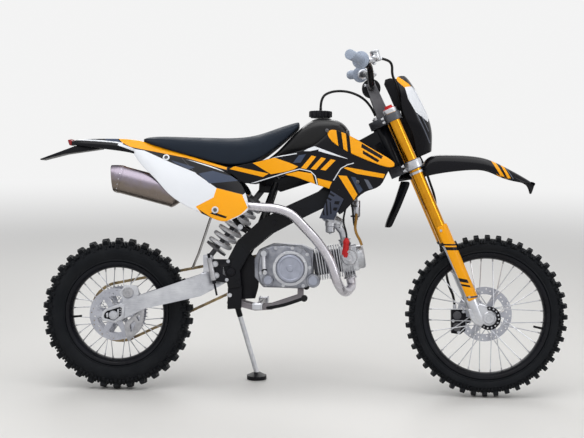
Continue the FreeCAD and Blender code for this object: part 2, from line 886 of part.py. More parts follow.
def rear_rails():
    """The bolted rear frame that carries the seat, the fender and the side panels."""
    rails = []
    for side in (-1, 1):
        y = side * 52
        rails.append(bent_tube([
            on_plane(shock_top.x + 13, shock_top.z + 40.3, side * 44),
            on_plane(d.seat_x + 60, d.seat_z - 44, y),
            on_plane(d.seat_x - 120, d.seat_z - 6, y),
            on_plane(d.seat_x - 330, d.seat_z + 58, side * 40),
        ], d.rail_radius, 0.3))
        low = on_plane(d.pivot_x + 30, d.pivot_z + 158, side * (d.spar_spread - 10))
        rails.append(rod(low, on_plane(d.seat_x - 130, d.seat_z - 8, y), d.rail_radius))
        tab = on_plane(d.pivot_x + 30, d.pivot_z + 158, side * (d.spar_spread - 10))
        foot = on_plane(d.pivot_x + 52, d.pivot_z + 142, side * (d.spar_spread - 10))
        rails.append(rod(tab, foot, d.rail_radius))
    rails.append(cross_rod(on_plane(shock_top.x + 13, shock_top.z + 40.3), 8, 44))
    for x, z in ((-150, 4), (-300, 48), (40, -41)):
        rails.append(cross_rod(on_plane(d.seat_x + x, d.seat_z + z), 8, 50))
    for x, low in ((-300, 48), (-150, 4), (-20, -27)):
        for side in (-1, 1):
            rails.append(slab((
                (d.seat_x + x - 10, d.seat_z + low), (d.seat_x + x + 10, d.seat_z + low),
                (d.seat_x + x + 10, fender_deck(x + 10) - d.seat_gap),
                (d.seat_x + x - 10, fender_deck(x - 10) - d.seat_gap),
            ), side * 36, side * 52))
    return rails[0].multiFuse(rails[1:])


rear_frame = feature("rear_frame", rear_rails())


# %% Engine

def engine_case():
    """The crankcase, set back on the left for the gearbox sprocket and its chain."""
    corners = (
        (-112, 64), (-66, 84), (40, 80), (78, 62), (78, -52), (40, -72), (-96, -70), (-128, -34), (-130, 30),
    )
    outline = [(f"dims.crank_x + {x}", f"dims.crank_z + {z}") for x, z in corners]
    body = padded_body("engine_case", outline, "-dims.case_half_width", "2 * dims.case_half_width")
    corners = ((-150, 90), (-62, 90), (-62, -90), (-150, -90))
    outline = [(f"dims.crank_x + {x}", f"dims.crank_z + {z}") for x, z in corners]
    sketch = sketched(body, "drive_pocket_outline", "XZ_Plane", outline, "-dims.case_half_width")
    pocket = body.newObject("PartDesign::Pocket", "drive_pocket")
    pocket.Profile = sketch
    pocket.Reversed = True
    pocket.setExpression("Length", "dims.drive_pocket")
    return keep(body, "engine_case")


case = engine_case()


kick_shaft = Vector(-92, 0, 52)


def right_cover():
    inner = -d.case_half_width
    floor = inner - d.cover_depth * 0.6
    outer = inner - d.cover_depth
    outline = [(d.crank_x + x, d.crank_z + z) for x, z in (
        (-108, 60), (-64, 80), (38, 76), (74, 40), (74, -50), (38, -68), (-92, -66), (-112, -30),
    )]
    parts = [
        disc_between(crank, d.clutch_radius, inner - 2, floor - 12),
        disc_between(crank, d.clutch_radius - 11, floor - 10, outer),
        disc_between(crank + kick_shaft, 14, inner - 2, floor - 22),
        disc_between(crank + Vector(-62, 0, -42), 19, inner - 2, floor - 8),
        disc_between(crank + Vector(80, 0, -42), 24, inner - 2, floor - 6),
    ]
    return slab(outline, inner, floor).multiFuse(parts)


def left_cover():
    inner = d.case_half_width
    outline = [(d.crank_x + x, d.crank_z + z) for x, z in (
        (-60, 70), (40, 70), (70, 36), (70, -44), (36, -64), (-60, -60),
    )]
    parts = [
        disc_between(crank, 58, inner + 2, inner + 44),
        disc_between(crank, 40, inner + 42, inner + 50),
    ]
    return slab(outline, inner, inner + 30).multiFuse(parts)


feature("clutch_cover", right_cover())
feature("generator_cover", left_cover())

tilt = math.radians(d.cylinder_tilt)
bore_way = Vector(math.cos(tilt), 0, math.sin(tilt))
bore_up = Vector(-math.sin(tilt), 0, math.cos(tilt))
bore_root = crank + Vector(78 + d.seat_gap, 0, 12)


def bore_block(start, end, low, high, half):
    """A block along the cylinder: distances from its foot, below and above its axis, and half its width."""
    corners = [bore_root + bore_way * a + bore_up * b for a, b in ((start, low), (end, low), (end, high), (start, high))]
    return slab([(corner.x, corner.z) for corner in corners], -half, half)


fins_end = d.fin_count * d.fin_pitch + 10


port = bore_root + bore_way * (fins_end + d.seat_gap + 22) - bore_up * (d.fin_depth / 2 + 6)


def cylinder():
    """A finned barrel: a core and evenly pitched square fins."""
    half = d.fin_depth / 2
    core = bore_block(10, fins_end, -half + 18, half - 18, d.fin_width / 2 - 18)
    fins = []
    for index in range(int(d.fin_count)):
        start = 14 + index * d.fin_pitch
        fins.append(bore_block(start, start + d.fin_thickness, -half, half, d.fin_width / 2))
    foot = slab([
        (bore_root.x, bore_root.z - 40), (bore_root.x + 18, bore_root.z - 38),
        (bore_root.x + 6, bore_root.z + 42), (bore_root.x, bore_root.z + 42),
    ], -44, 44)
    return core.multiFuse([foot] + fins)


def cylinder_head():
    start = fins_end + d.seat_gap
    half = d.fin_depth / 2
    parts = [bore_block(start, start + 58, -half + 14, half - 10, 50)]
    for index in range(5):
        at = start + 4 + index * d.fin_pitch
        parts.append(bore_block(at, at + d.fin_thickness, -half + 2, half, 58))
    cap = bore_root + bore_way * (start + 54)
    parts.append(rod(cap, cap + bore_way * 30, 42))
    cam = bore_root + bore_way * (start + 30) + bore_up * 6
    parts.append(disc_between(cam, 28, -50, -68))
    parts.append(disc_between(cam, 28, 50, 68))
    inlet = bore_root + bore_way * (start + 22) + bore_up * (half - 12)
    parts.append(rod(inlet, inlet + bore_up * 20, 19))
    parts.append(rod(port + bore_up * 30, port + bore_up * d.seat_gap, d.header_radius + 4))
    return parts[0].multiFuse(parts[1:])


feature("cylinder", cylinder())
feature("cylinder_head", cylinder_head())
inlet_top = bore_root + bore_way * (fins_end + d.seat_gap + 22) + bore_up * (d.fin_depth / 2 + 8)


def carburettor():
    """The inlet stub, the carburettor body with its bowl, and the air box above it."""
    bend = inlet_top + Vector(-22, 0, 62)
    stub = bent_tube([inlet_top + bore_up * d.seat_gap, inlet_top + bore_up * 24, bend], 15)
    body = rod(bend + Vector(4, 0, -12), bend + Vector(-62, 0, 26), 22)
    bowl = rod(bend + Vector(-30, 0, 8), bend + Vector(-30, 0, -34), 19)
    return stub.multiFuse([body, bowl])


feature("carburettor", carburettor())


def ignition_coil():
    """A coil that hangs under the frame, with its cap and bracket."""
    middle = on_plane(coil_tube.x - 10, coil_tube.z - 134)
    can = rod(middle + Vector(0, 0, -30), middle + Vector(0, 0, 26), 15)
    neck = rod(middle + Vector(0, 0, -44), middle + Vector(0, 0, -28), 8)
    strap = rod(middle + Vector(0, 0, 20), coil_tube - Vector(0, 0, coil_tube_radius + d.seat_gap), 4)
    return can.multiFuse([neck, strap])


feature("ignition_coil", ignition_coil())


# %% Exhaust

exhaust_side = -150
silencer_side = -108
silencer_front = on_plane(d.panel_x - 60, panel_z - 28, silencer_side)
silencer_axis = on_plane(-0.97, 0.243)
silencer_axis.normalize()


def header():
    """The pipe from the head's port, down, out to the right and back to the silencer."""
    points = [
        port,
        port - bore_up * 34,
        port + Vector(-16, -74, -56),
        port + Vector(-42, exhaust_side + 8, -22),
        port + Vector(-68, exhaust_side, 60),
        port + Vector(-112, exhaust_side, 126),
        port + Vector(-206, exhaust_side + 12, 222),
        port + Vector(-258, exhaust_side + 20, 240),
        port + Vector(-340, exhaust_side + 28, 244),
        silencer_front - silencer_axis * 72,
        silencer_front - silencer_axis * d.seat_gap,
    ]
    return bent_tube(points, d.header_radius, 0.45)


feature("exhaust_header", header())


def silencer():
    """A can with conical ends and an outlet, cut back at a slant."""
    way = silencer_axis
    tail = silencer_front + way * d.silencer_length
    can = rod(silencer_front + way * 30, tail, d.silencer_radius)
    nose = Part.makeCone(d.header_radius + 2, d.silencer_radius, 30, silencer_front, way)
    end = Part.makeCone(d.silencer_radius, d.silencer_radius * 0.78, 38, tail, way)
    rise = Vector(way.z, 0, -way.x)
    above, below = tail + way * 34 + rise * 60, tail - way * 6 - rise * 60
    beyond = [(point.x, point.z) for point in (above, below, below + way * 120, above + way * 120)]
    slant = slab(beyond, silencer_side - 70, silencer_side + 70)
    hole = rod(tail, tail + way * 60, 22)
    return can.multiFuse([nose, end]).cut(slant).cut(hole)


feature("silencer", silencer())


# %% Swingarm, axle and shock

def arm(side):
    """One leg of the swingarm from the axle end to the pivot."""
    spread = side * d.arm_spread
    rear = rear_axle.z
    return beam((
        (-38, rear - 6, spread, 26, d.arm_width),
        (-4, rear, spread, 58, d.arm_width),
        (100, rear + 48, spread, 50, d.arm_width),
        (d.pivot_x - 118, d.pivot_z - 54, spread - side * 8, 72, d.arm_width),
        (d.pivot_x - 48, d.pivot_z - 22, side * 50, 60, d.arm_width),
        (d.pivot_x + 14, d.pivot_z + 3, side * 46, 42, d.arm_width),
    ))


def swingarm():
    inside = d.spar_spread - d.spar_width / 2 - 1
    tube = cross_rod(pivot, 18, inside)
    arms = [arm(side) for side in (-1, 1)]
    brace = slab((
        (d.pivot_x - 122, d.pivot_z - 84), (d.pivot_x - 62, d.pivot_z - 62),
        (d.pivot_x - 62, d.pivot_z - 4), (d.pivot_x - 106, d.pivot_z - 6),
    ), -d.arm_spread + 6, d.arm_spread - 6)
    ears = []
    for side in (-1, 1):
        inner = side * (eye_half + d.seat_gap)
        ears.append(slab((
            (shock_bottom.x - 16, shock_bottom.z + 14), (shock_bottom.x + 16, shock_bottom.z + 14),
            (shock_bottom.x + 30, shock_bottom.z - 50), (shock_bottom.x - 14, shock_bottom.z - 50),
        ), inner, inner + side * 8))
    pin = cross_rod(shock_bottom, 6, eye_half + 12)
    whole = tube.multiFuse(arms + [brace, pin] + ears)
    bores = [cross_rod(pivot, d.pivot_bolt + d.seat_gap, inside + 2)]
    bores.append(cross_rod(rear_axle, d.rear_axle_radius + d.seat_gap, 130))
    return whole.cut(Part.makeCompound(bores))


feature("swingarm", swingarm())


adjuster_depth = 3


def axle_set():
    """The rear axle with its nuts and adjuster blocks, and the spacers between the arms and the hub."""
    outer = d.arm_spread + d.arm_width / 2 + d.seat_gap
    inner = d.arm_spread - d.arm_width / 2 - d.seat_gap
    hub_end = d.rear_hub_width / 2 + d.seat_gap
    parts = [cross_rod(rear_axle, d.rear_axle_radius, outer + adjuster_depth + 14)]
    for side in (-1, 1):
        nut = outer + adjuster_depth
        parts.append(slab((
            (-24, rear_axle.z - 14), (-26, rear_axle.z + 4), (22, rear_axle.z + 22), (26, rear_axle.z + 2),
        ), side * outer, side * nut))
        parts.append(disc_between(rear_axle, 16, side * nut, side * (nut + 9)))
        parts.append(disc_between(rear_axle, 13, side * hub_end, side * inner))
    return parts[0].multiFuse(parts[1:])


feature("rear_axle", axle_set())


def damper():
    way = shock_top - shock_bottom
    way.normalize()
    body_end = shock_top - way * 92
    parts = [
        ring(shock_top, 17, 6 + d.seat_gap, eye_half),
        ring(shock_bottom, 15, 6 + d.seat_gap, eye_half),
        rod(shock_top - way * 12, shock_top - way * 50, 11),
        rod(shock_top - way * 47, body_end, d.damper_radius),
        rod(body_end + way * 2, shock_bottom + way * 12, 9),
        rod(shock_bottom + way * 44, shock_bottom + way * 52, d.spring_radius + 4),
        rod(shock_top - way * 66, shock_top - way * 58, d.spring_radius + 4),
    ]
    solid = parts[0].multiFuse(parts[1:])
    holes = [cross_rod(eye, 6 + d.seat_gap, eye_half + 1) for eye in (shock_top, shock_bottom)]
    return solid.cut(Part.makeCompound(holes))


def coil_spring():
    """A coil of hexagonal wire, facet by facet, between the damper's two seats."""
    way = shock_top - shock_bottom
    way.normalize()
    half_wire = d.spring_wire * math.sin(math.pi / 3)
    start = shock_bottom + way * (52 + half_wire + d.seat_gap)
    end = shock_top - way * (66 + half_wire + d.seat_gap)
    side = way.cross(Y_AXIS)
    side.normalize()
    other = way.cross(side)
    steps = 14
    total = int(d.spring_turns * steps)
    rise = (end - start).Length / total
    rings = []
    for step in range(total + 1):
        turn = 2 * math.pi * step / steps
        out = side * math.cos(turn) + other * math.sin(turn)
        middle = start + way * (rise * step) + out * d.spring_radius
        rings.append([
            middle + out * (d.spring_wire * math.cos(k * math.pi / 3))
            + way * (d.spring_wire * math.sin(k * math.pi / 3)) for k in range(6)
        ])
    faces = [rings[0], rings[-1]]
    for first, second in zip(rings, rings[1:]):
        for k in range(6):
            on = (k + 1) % 6
            faces.append((first[k], first[on], second[k]))
            faces.append((first[on], second[on], second[k]))
    return sewn(faces)


feature("shock_absorber", damper())
feature("shock_spring", coil_spring())


# %% Rear brake, foot controls and lower bracket

def rear_caliper():
    """A caliper astride the rear disc, with the bracket that hangs it on the axle spacer."""
    middle = rear_axle + Vector(52, 0, 72)
    disc_y = -d.rear_disc_offset
    gap = d.disc_thickness / 2 + d.pad_gap
    outline = [(middle.x + x, middle.z + z) for x, z in (
        (-38, 6), (-16, 34), (24, 30), (34, 2), (14, -26), (-20, -28),
    )]
    body = slab(outline, disc_y - gap - 9, disc_y + gap + 9)
    slot = slab([
        (rear_axle.x - 120, rear_axle.z - 20), (rear_axle.x + 120, rear_axle.z - 20),
        (rear_axle.x + 120, rear_axle.z + 140), (rear_axle.x - 120, rear_axle.z + 140),
    ], disc_y - gap, disc_y + gap)
    reach = disc_between(rear_axle, d.rear_disc_radius + d.running_gap, disc_y - gap - 0.1, disc_y + gap + 0.1)
    lug = slab([(middle.x + x, middle.z + z) for x, z in ((-25, -34), (20, -34), (20, -10), (-25, -10))],
               disc_y - gap - 8, -d.arm_spread + d.arm_width / 2 + d.seat_gap)
    return body.fuse(lug).cut(slot.common(reach))


feature("rear_caliper", rear_caliper())


def disc_guard():
    """A cast fin that covers the rear disc's lower edge, with its tab against the swingarm's inner face."""
    outer = -(d.arm_spread - d.arm_width / 2 - d.seat_gap)
    z = rear_axle.z
    edge = d.rear_disc_radius + 14
    fin = slab((
        (84, z + 36), (106, z + 40), (edge - 1, z + 8), (edge - 4, z - 22), (edge - 16, z - 54), (50, z - 96),
        (42, z - 78), (34, z - 40), (40, z - 26), (84, z + 14),
    ), outer, outer + d.guard_plate)
    windows = []
    for outline in (
        ((76, z - 6), (92, z + 2), (90, z - 18), (84, z - 22)), ((54, z - 34), (70, z - 20), (76, z - 30), (58, z - 62)),
    ):
        windows.append(slab(outline, outer - 1, outer + d.guard_plate + 1))
    return fin.cut(Part.makeCompound(windows))


def brake_cylinder():
    """The rear brake's cylinder on its plate, bolted to the outside of the right spar, with its push rod."""
    face = -(d.spar_spread + d.spar_width / 2 + d.seat_gap)
    lugs = face - 5
    middle = lugs - d.cylinder_radius + 2
    top = on_plane(pivot.x - 76, pivot.z + 48, middle)
    foot = on_plane(pivot.x - 59, pivot.z - 30, middle)
    way = foot - top
    way.normalize()
    plate = slab([(pivot.x + x, pivot.z + z) for x, z in (
        (-72, 34), (-64, 44), (-4, 44), (-2, 24), (-28, 16), (-28, -8), (-12, -18), (-14, -38), (-52, -34), (-62, -20),
    )], face, lugs)
    parts = [
        rod(top, foot, d.cylinder_radius), rod(top - way * 16, top, 5), rod(foot, foot + way * 12, 7),
        rod(foot + way * 10, foot + way * 54, 3.5),
        disc_between(on_plane(pivot.x - 55, pivot.z + 27), 10, face, lugs - 8),
        disc_between(on_plane(pivot.x - 50, pivot.z - 13), 10, face, lugs - 8),
    ]
    return plate.multiFuse(parts)


def mud_flap():
    """A rubber strip before the rear tyre, its sides held between the rear frame's posts."""
    half = 36 - d.seat_gap
    deep = d.flap_thickness / 2
    stations = (
        (d.seat_x - 18, fender_deck(-18) - 8), (d.seat_x - 24, d.seat_z - 60), (d.seat_x - 48, d.seat_z - 130),
        (d.seat_x - 70, d.seat_z - 190), (d.seat_x - 88, d.seat_z - 248), (d.seat_x - 108, d.seat_z - 310),
        (d.seat_x - 130, d.seat_z - 364),
    )
    rings = []
    for x, z in stations:
        rings.append([on_plane(x + a * deep, z, b * half) for a, b in ((-1, -1), (1, -1), (1, 1), (-1, 1))])
    return lofted(rings)


feature("disc_guard", disc_guard())
feature("brake_cylinder", brake_cylinder())
feature("mud_flap", mud_flap())


def lower_bracket():
    """The grey bracket under the engine with its cross tubes, and the bolt that carries the stand."""
    lines = []
    for y in (-62, 38):
        lines.append(beam((
            (d.pivot_x - 14, d.pivot_z - 104, y, 20, 14),
            (d.pivot_x + 84, d.pivot_z - 128, y, 18, 14),
            (d.pivot_x + 140, d.pivot_z - 124, y, 18, 14),
            (d.pivot_x + 250, d.pivot_z - 84, y, 16, 14),
        )))
        post = on_plane(d.crank_x + 34, d.crank_z - 72 - d.seat_gap, y)
        lines.append(slab((
            (post.x - 9, post.z), (post.x + 9, post.z), (post.x + 9, post.z - 36), (post.x - 9, post.z - 42),
        ), y - 6, y + 6))
    peg = on_plane(d.peg_x, d.peg_z - 28)
    crossings = [
        cross_rod(on_plane(d.pivot_x + 20, d.pivot_z - 116), 8, 90),
        cross_rod(on_plane(d.pivot_x + 236, d.pivot_z - 90), 7, 64, 40),
        cross_rod(peg, 10, 128),
    ]
    hangers = []
    for side in (-1, 1):
        hangers.append(slab((
            (d.pivot_x - 8, d.pivot_z - 60 - d.seat_gap), (d.pivot_x + 36, d.pivot_z - 52 - d.seat_gap),
            (d.pivot_x + 36, d.pivot_z - 126), (d.pivot_x - 12, d.pivot_z - 126),
        ), side * d.hanger_in, side * d.hanger_out))
    hinge = on_plane(d.stand_x, d.stand_z)
    hangers.append(disc_between(hinge, d.stand_bolt, d.hanger_out - 1, d.stand_y + 10))
    hangers.append(disc_between(hinge, d.stand_bolt + 3, d.stand_y + 9 + d.seat_gap, d.stand_y + 14))
    return lines[0].multiFuse(lines[1:] + crossings + hangers)


feature("lower_bracket", lower_bracket())


def footpegs():
    """Two folding pegs with a toothed tread, joined to the cross tube's ends."""
    pegs = []
    for side in (-1, 1):
        root = side * (128 + d.seat_gap)
        end = root + side * d.peg_length
        z = d.peg_z - 28
        tread = slab((
            (d.peg_x - 18, z - 10), (d.peg_x + 18, z - 10), (d.peg_x + 18, z + 12), (d.peg_x - 18, z + 12),
        ), root, end)
        slots = []
        for k in range(3):
            y = root + side * (14 + k * 17)
            slots.append(slab((
                (d.peg_x - 11, z - 12), (d.peg_x + 11, z - 12), (d.peg_x + 11, z + 14), (d.peg_x - 11, z + 14),
            ), y, y + side * 11))
        pegs.append(tread.cut(Part.makeCompound(slots)))
    return Part.makeCompound(pegs)


feature("footpegs", footpegs())


def kick_starter():
    """The short kick lever, folded down, with its foot piece turned outwards."""
    shaft = crank + kick_shaft
    y = -d.case_half_width - d.cover_depth * 0.6 - 22 - d.seat_gap
    boss = disc_between(shaft, 12, y, y - 20)
    lever = rod(shaft + Vector(0, y - 10, 0), shaft + Vector(3, y - 16, -60), 7)
    foot = rod(shaft + Vector(3, y - 12, -60), shaft + Vector(6, y - 34, -66), 8)
    return boss.multiFuse([lever, foot])


def foot_levers():
    """The brake pedal on the right and the gear lever on the left."""
    pedal_z = d.pivot_z - 125
    beside = -69 - d.seat_gap
    brake = bent_tube([
        on_plane(d.peg_x + 30, pedal_z, beside), on_plane(d.peg_x + 30, pedal_z, -100),
        on_plane(d.peg_x + 88, pedal_z + 13, -124), on_plane(d.peg_x + 160, pedal_z + 40, -136),
    ], 6, 0.4)
    shaft = crank + Vector(-75, 0, -50)
    case_side = d.case_half_width - d.drive_pocket + d.seat_gap
    gear = bent_tube([
        shaft + Y_AXIS * case_side, shaft + Y_AXIS * 104,
        shaft + Vector(54, 128, -17), shaft + Vector(124, 138, -28),
    ], 6, 0.4)
    tips = [
        disc_between(on_plane(d.peg_x + 160, pedal_z + 40), 11, -128, -158),
        disc_between(shaft + Vector(124, 0, -28), 10, 132, 162),
    ]
    return Part.makeCompound([brake.fuse(tips[0]), gear.fuse(tips[1])])


feature("kick_starter", kick_starter())
feature("foot_levers", foot_levers())


# %% Tank and seat

def dome(x, bottom, shoulder, top, half, narrow):
    """A cross-section with a flat floor, upright walls and an arched top."""
    corners = [
        on_plane(x, bottom, -half * narrow), on_plane(x, shoulder, -half),
        on_plane(x, (shoulder + top * 2) / 3, -half * 0.72), on_plane(x, top, -half * 0.28),
        on_plane(x, top, half * 0.28), on_plane(x, (shoulder + top * 2) / 3, half * 0.72),
        on_plane(x, shoulder, half), on_plane(x, bottom, half * narrow),
    ]
    return corners


def fuel_tank():
    rings = []
    for x, bottom, shoulder, top, half in TANK_STATIONS:
        z = d.tank_z
        rings.append(dome(d.tank_x + x, z + bottom, z + shoulder, z + top, half, 0.8))
    return lofted(rings)


feature("fuel_tank", fuel_tank())
cap_foot = on_plane(d.tank_x + 14, d.tank_z + 138 + d.seat_gap)


def fuel_cap():
    """A ribbed screw cap with its vent spigot."""
    parts = [rod(cap_foot, cap_foot + Vector(0, 0, 26), d.cap_radius)]
    for k in range(8):
        way = Vector(math.cos(k * math.pi / 4), math.sin(k * math.pi / 4), 0)
        at = cap_foot + way * (d.cap_radius - 2)
        parts.append(rod(at + Vector(0, 0, 4), at + Vector(0, 0, 26), 6))
    parts.append(rod(cap_foot + Vector(0, 0, 25), cap_foot + Vector(0, 0, 36), 5))
    return parts[0].multiFuse(parts[1:])


feature("fuel_cap", fuel_cap())

SEAT_STATIONS = (
    # x, floor, shoulder, top: offsets from the seat's datum; half width
    (-306, 86, 88, 93, 58),
    (-243, 66, 90, 104, 84),
    (-101, 28, 84, 103, 100),
    (0, 2, 78, 101, 108),
    (100, 18, 88, 116, 104),
    (158, 61, 112, 134, 92),
    (245, 143, 152, 165, 66),
)


def seat():
    rings = []
    for x, bottom, shoulder, top, half in SEAT_STATIONS:
        z = d.seat_z
        rings.append(dome(d.seat_x + x, z + bottom, z + shoulder, z + top, half, 0.97))
    return lofted(rings)


feature("seat", seat())


# %% Bodywork

def rear_fender():
    stations = []
    for x, top, edge, half in FENDER_STATIONS:
        stations.append((d.seat_x + x, d.seat_z + top - d.seat_gap, d.seat_z + edge, half))
    return channel(stations, d.skin)


feature("rear_fender", rear_fender())


def tail():
    """The thin plate holder that runs out behind the fender, on a block under the fender's deck."""
    root = (d.seat_x - 463, d.seat_z + 62)
    deck = d.seat_z + 93 - d.skin - 2 * d.seat_gap
    block = slab((
        (d.seat_x - 488, d.seat_z + 60), (d.seat_x - 463, d.seat_z + 60),
        (d.seat_x - 463, deck), (d.seat_x - 488, deck),
    ), -20, 20)
    return block.fuse(slab((
        root, (d.seat_x - 550, d.seat_z + 66), (d.seat_x - 678, d.seat_z + 17),
        (d.seat_x - 676, d.seat_z + 13), (d.seat_x - 590, d.seat_z + 36), (d.seat_x - 463, d.seat_z + 56),
    ), -42, 42))


def tail_light():
    end = d.seat_x - 566 - d.seat_gap
    z = d.seat_z
    return slab(((end, z + 84), (end - 14, z + 86), (end - 8, z + 68), (end, z + 67)), -34, 34)


feature("tail_plate", tail())
feature("tail_light", tail_light())

PANEL_STATIONS = (
    # x, top, bottom: offsets from the panel's datum; distance out at the top and at the bottom
    (-242, 136, 116, 96, 102),
    (-153, 122, 30, 104.5, 156),
    (-108, 114, -24, 107.5, 170),
    (0, 90, -82, 114.9, 178),
    (48, 76, -103, 117, 178),
    (90, 58, -118, 118.5, 178),
    (126, 34, -100, 122.5, 175),
    (150, 10, -88, 130, 172),
    (170, -56, -72, 150, 158),
)


def side_panels():
    rings = []
    for x, top, low, near, far in PANEL_STATIONS:
        rings.append((d.panel_x + x, panel_z + top, panel_z + low, near, far))
    return Part.makeCompound([skin_panel(rings, d.skin, side) for side in (-1, 1)])


feature("side_panels", side_panels())

SHROUD_STATIONS = (
    # x, top, bottom: offsets from the shroud's datum; distance out at the top and at the bottom
    (-367, 3, -4, 119, 119.6),
    (-307, 18, -55, 119, 121),
    (-263, 28, -46, 119, 122),
    (-217, 40, -33, 119, 122),
    (-160, 56, -16, 110, 122),
    (-70, 84, -46, 100, 124),
    (-24, 134, -60, 93.4, 126),
    (0, 144, -66, 94.2, 130),
    (18, 137, -162, 100, 134),
    (50, 128, -134, 104, 138),
    (83, 110, -94, 112, 142),
    (116, 94, -68, 120, 146),
    (141, 76, -38, 128, 150),
    (186, 46, 0, 146, 158),
    (215, 24, 14, 154, 158),
)


def shrouds():
    rings = []
    for x, top, low, near, far in SHROUD_STATIONS:
        rings.append((d.shroud_x + x, d.shroud_z + top, d.shroud_z + low, near, far))
    return Part.makeCompound([skin_panel(rings, d.skin, side) for side in (-1, 1)])


feature("shrouds", shrouds())


def slotted_plate():
    """The small grey plate outside the right shroud's lower corner, on one round boss."""
    outline = [(d.shroud_x + x, d.shroud_z + z) for x, z in ((-6, -70), (40, -98), (6, -172), (-44, -166))]
    boss = disc_between(on_plane(d.shroud_x + 17, d.shroud_z - 100), 5, -130.3, -135)
    return slab(outline, -134, -137.5).fuse(boss)


feature("slotted_plate", slotted_plate())


# %% Steering

def clamp_plate(low, depth):
    """One fork clamp: a bridge round the stem with a split eye for each leg."""
    eye = d.fork_tube_radius + d.clamp_wall
    parts = []
    for side in (-1, 1):
        parts.append(rod(
            steer(low, d.clamp_offset, side * d.leg_spread),
            steer(low + depth, d.clamp_offset, side * d.leg_spread), eye,
        ))
    corners = ((-34, 26), (-34, -26), (20, -72), (78, -72), (64, -34), (64, 34), (78, 72), (20, 72))
    face = Part.Face(polygon([steer(low, ahead, side) for ahead, side in corners]))
    return parts[0].multiFuse([parts[1], face.extrude(up_fork * depth)])


def fork_clamps():
    """Both clamps and the stem between them, bored for the fork legs."""
    lower = d.lower_clamp_height - d.lower_clamp_depth / 2
    stem = rod(steer(lower), steer(upper_clamp_low + d.upper_clamp_depth + 8), d.stem_radius)
    whole = stem.multiFuse([
        clamp_plate(lower, d.lower_clamp_depth), clamp_plate(upper_clamp_low, d.upper_clamp_depth),
    ])
    bores = []
    for side in (-1, 1):
        bores.append(rod(
            steer(lower - 5, d.clamp_offset, side * d.leg_spread),
            steer(d.fork_top + 5, d.clamp_offset, side * d.leg_spread), d.fork_tube_radius + 0.1,
        ))
    return whole.cut(Part.makeCompound(bores))


feature("fork_clamps", fork_clamps())


def fork_tubes():
    legs = []
    for side in (-1, 1):
        y = side * d.leg_spread
        tube = rod(steer(d.fork_tube_end, d.clamp_offset, y), steer(d.fork_top, d.clamp_offset, y), d.fork_tube_radius)
        bore = rod(
            steer(d.fork_tube_end - 1, d.clamp_offset, y),
            steer(d.fork_top - 40, d.clamp_offset, y), d.stanchion_radius + d.seat_gap,
        )
        cap = rod(steer(d.fork_top - 1, d.clamp_offset, y), steer(d.fork_top + 12, d.clamp_offset, y), 13)
        legs.append(tube.cut(bore).fuse(cap))
    return Part.makeCompound(legs)


feature("fork_tubes", fork_tubes())


guard_inside = 27


def carrier(side):
    """The inner leg and the axle carrier at its foot."""
    y = side * d.leg_spread
    inner_leg = rod(steer(d.stanchion_end, d.clamp_offset, y), steer(420, d.clamp_offset, y), d.stanchion_radius)
    sleeve = rod(steer(d.stanchion_end - 26, d.clamp_offset, y), steer(d.stanchion_end + 28, d.clamp_offset, y), 23)
    points = [steer(a, b) for a, b in ((22, 30), (22, 72), (-6, 98), (-46, 112), (-66, 96), (-66, 66), (-40, 30))]
    y_in = side * (d.leg_spread - 17)
    y_out = side * (d.leg_spread + 21)
    casting = slab([(point.x, point.z) for point in points], y_in, y_out)
    bore = cross_rod(front_axle, d.front_axle_radius + 0.1, 130)
    collar = rod(
        steer(d.stanchion_end + 14, d.clamp_offset, y), steer(d.stanchion_end + 34, d.clamp_offset, y),
        guard_inside - d.seat_gap,
    )
    return inner_leg.multiFuse([sleeve, casting, collar]).cut(bore)


feature("fork_lowers", Part.makeCompound([carrier(-1), carrier(1)]))


def front_spindle():
    """The hollow front axle with its spacers."""
    outer = d.leg_spread + 24
    hub_end = d.front_hub_width / 2 + d.seat_gap
    inner = d.leg_spread - 17 - d.seat_gap
    parts = [cross_rod(front_axle, d.front_axle_radius, outer)]
    for side in (-1, 1):
        parts.append(disc_between(front_axle, 14, side * hub_end, side * inner))
    whole = parts[0].multiFuse(parts[1:])
    return whole.cut(cross_rod(front_axle, d.front_axle_bore, outer + 1))


feature("front_spindle", front_spindle())


def axle_ring():
    """An open ring with a row of holes on the right carrier's outer face, round the axle."""
    near = -(d.leg_spread + 21 + d.seat_gap)
    far = near - 3.5
    ring_plate = disc_between(front_axle, 41, near, far).cut(disc_between(front_axle, 27, near + 1, far - 1))
    gap = [front_axle, front_axle + Vector(-20, 0, 90), front_axle + Vector(-90, 0, 60), front_axle + Vector(-80, 0, -70)]
    cuts = [slab([(point.x, point.z) for point in gap], near + 1, far - 1)]
    for degrees in range(80, -130, -23):
        turn = math.radians(degrees)
        hole = front_axle + Vector(math.cos(turn), 0, math.sin(turn)) * 34
        cuts.append(disc_between(hole, 3.2, near + 1, far - 1))
    return ring_plate.cut(Part.makeCompound(cuts))


feature("axle_ring", axle_ring())


def fork_guards():
    """Half-round guards before the inner legs."""
    guards = []
    for side in (-1, 1):
        y = side * d.leg_spread
        foot = steer(d.stanchion_end + 18, d.clamp_offset, y)
        head = steer(d.fork_tube_end + 60, d.clamp_offset, y)
        shell = rod(foot, head, guard_inside + 3).cut(rod(foot - up_fork, head + up_fork, guard_inside))
        low = d.stanchion_end
        corners = [
            steer(low, d.clamp_offset - 40, y - side * 40), steer(low, d.clamp_offset + 4, y - side * 40),
            steer(low, d.clamp_offset - 12, y + side * 40), steer(low, d.clamp_offset - 40, y + side * 40),
        ]
        away = Part.Face(polygon(corners)).extrude(up_fork * 420)
        guards.append(shell.cut(away))
    return Part.makeCompound(guards)


feature("fork_guards", fork_guards())

riser_foot = upper_clamp_low + d.upper_clamp_depth + d.seat_gap
bar_centre = steer(riser_foot + d.bar_rise, d.bar_ahead)


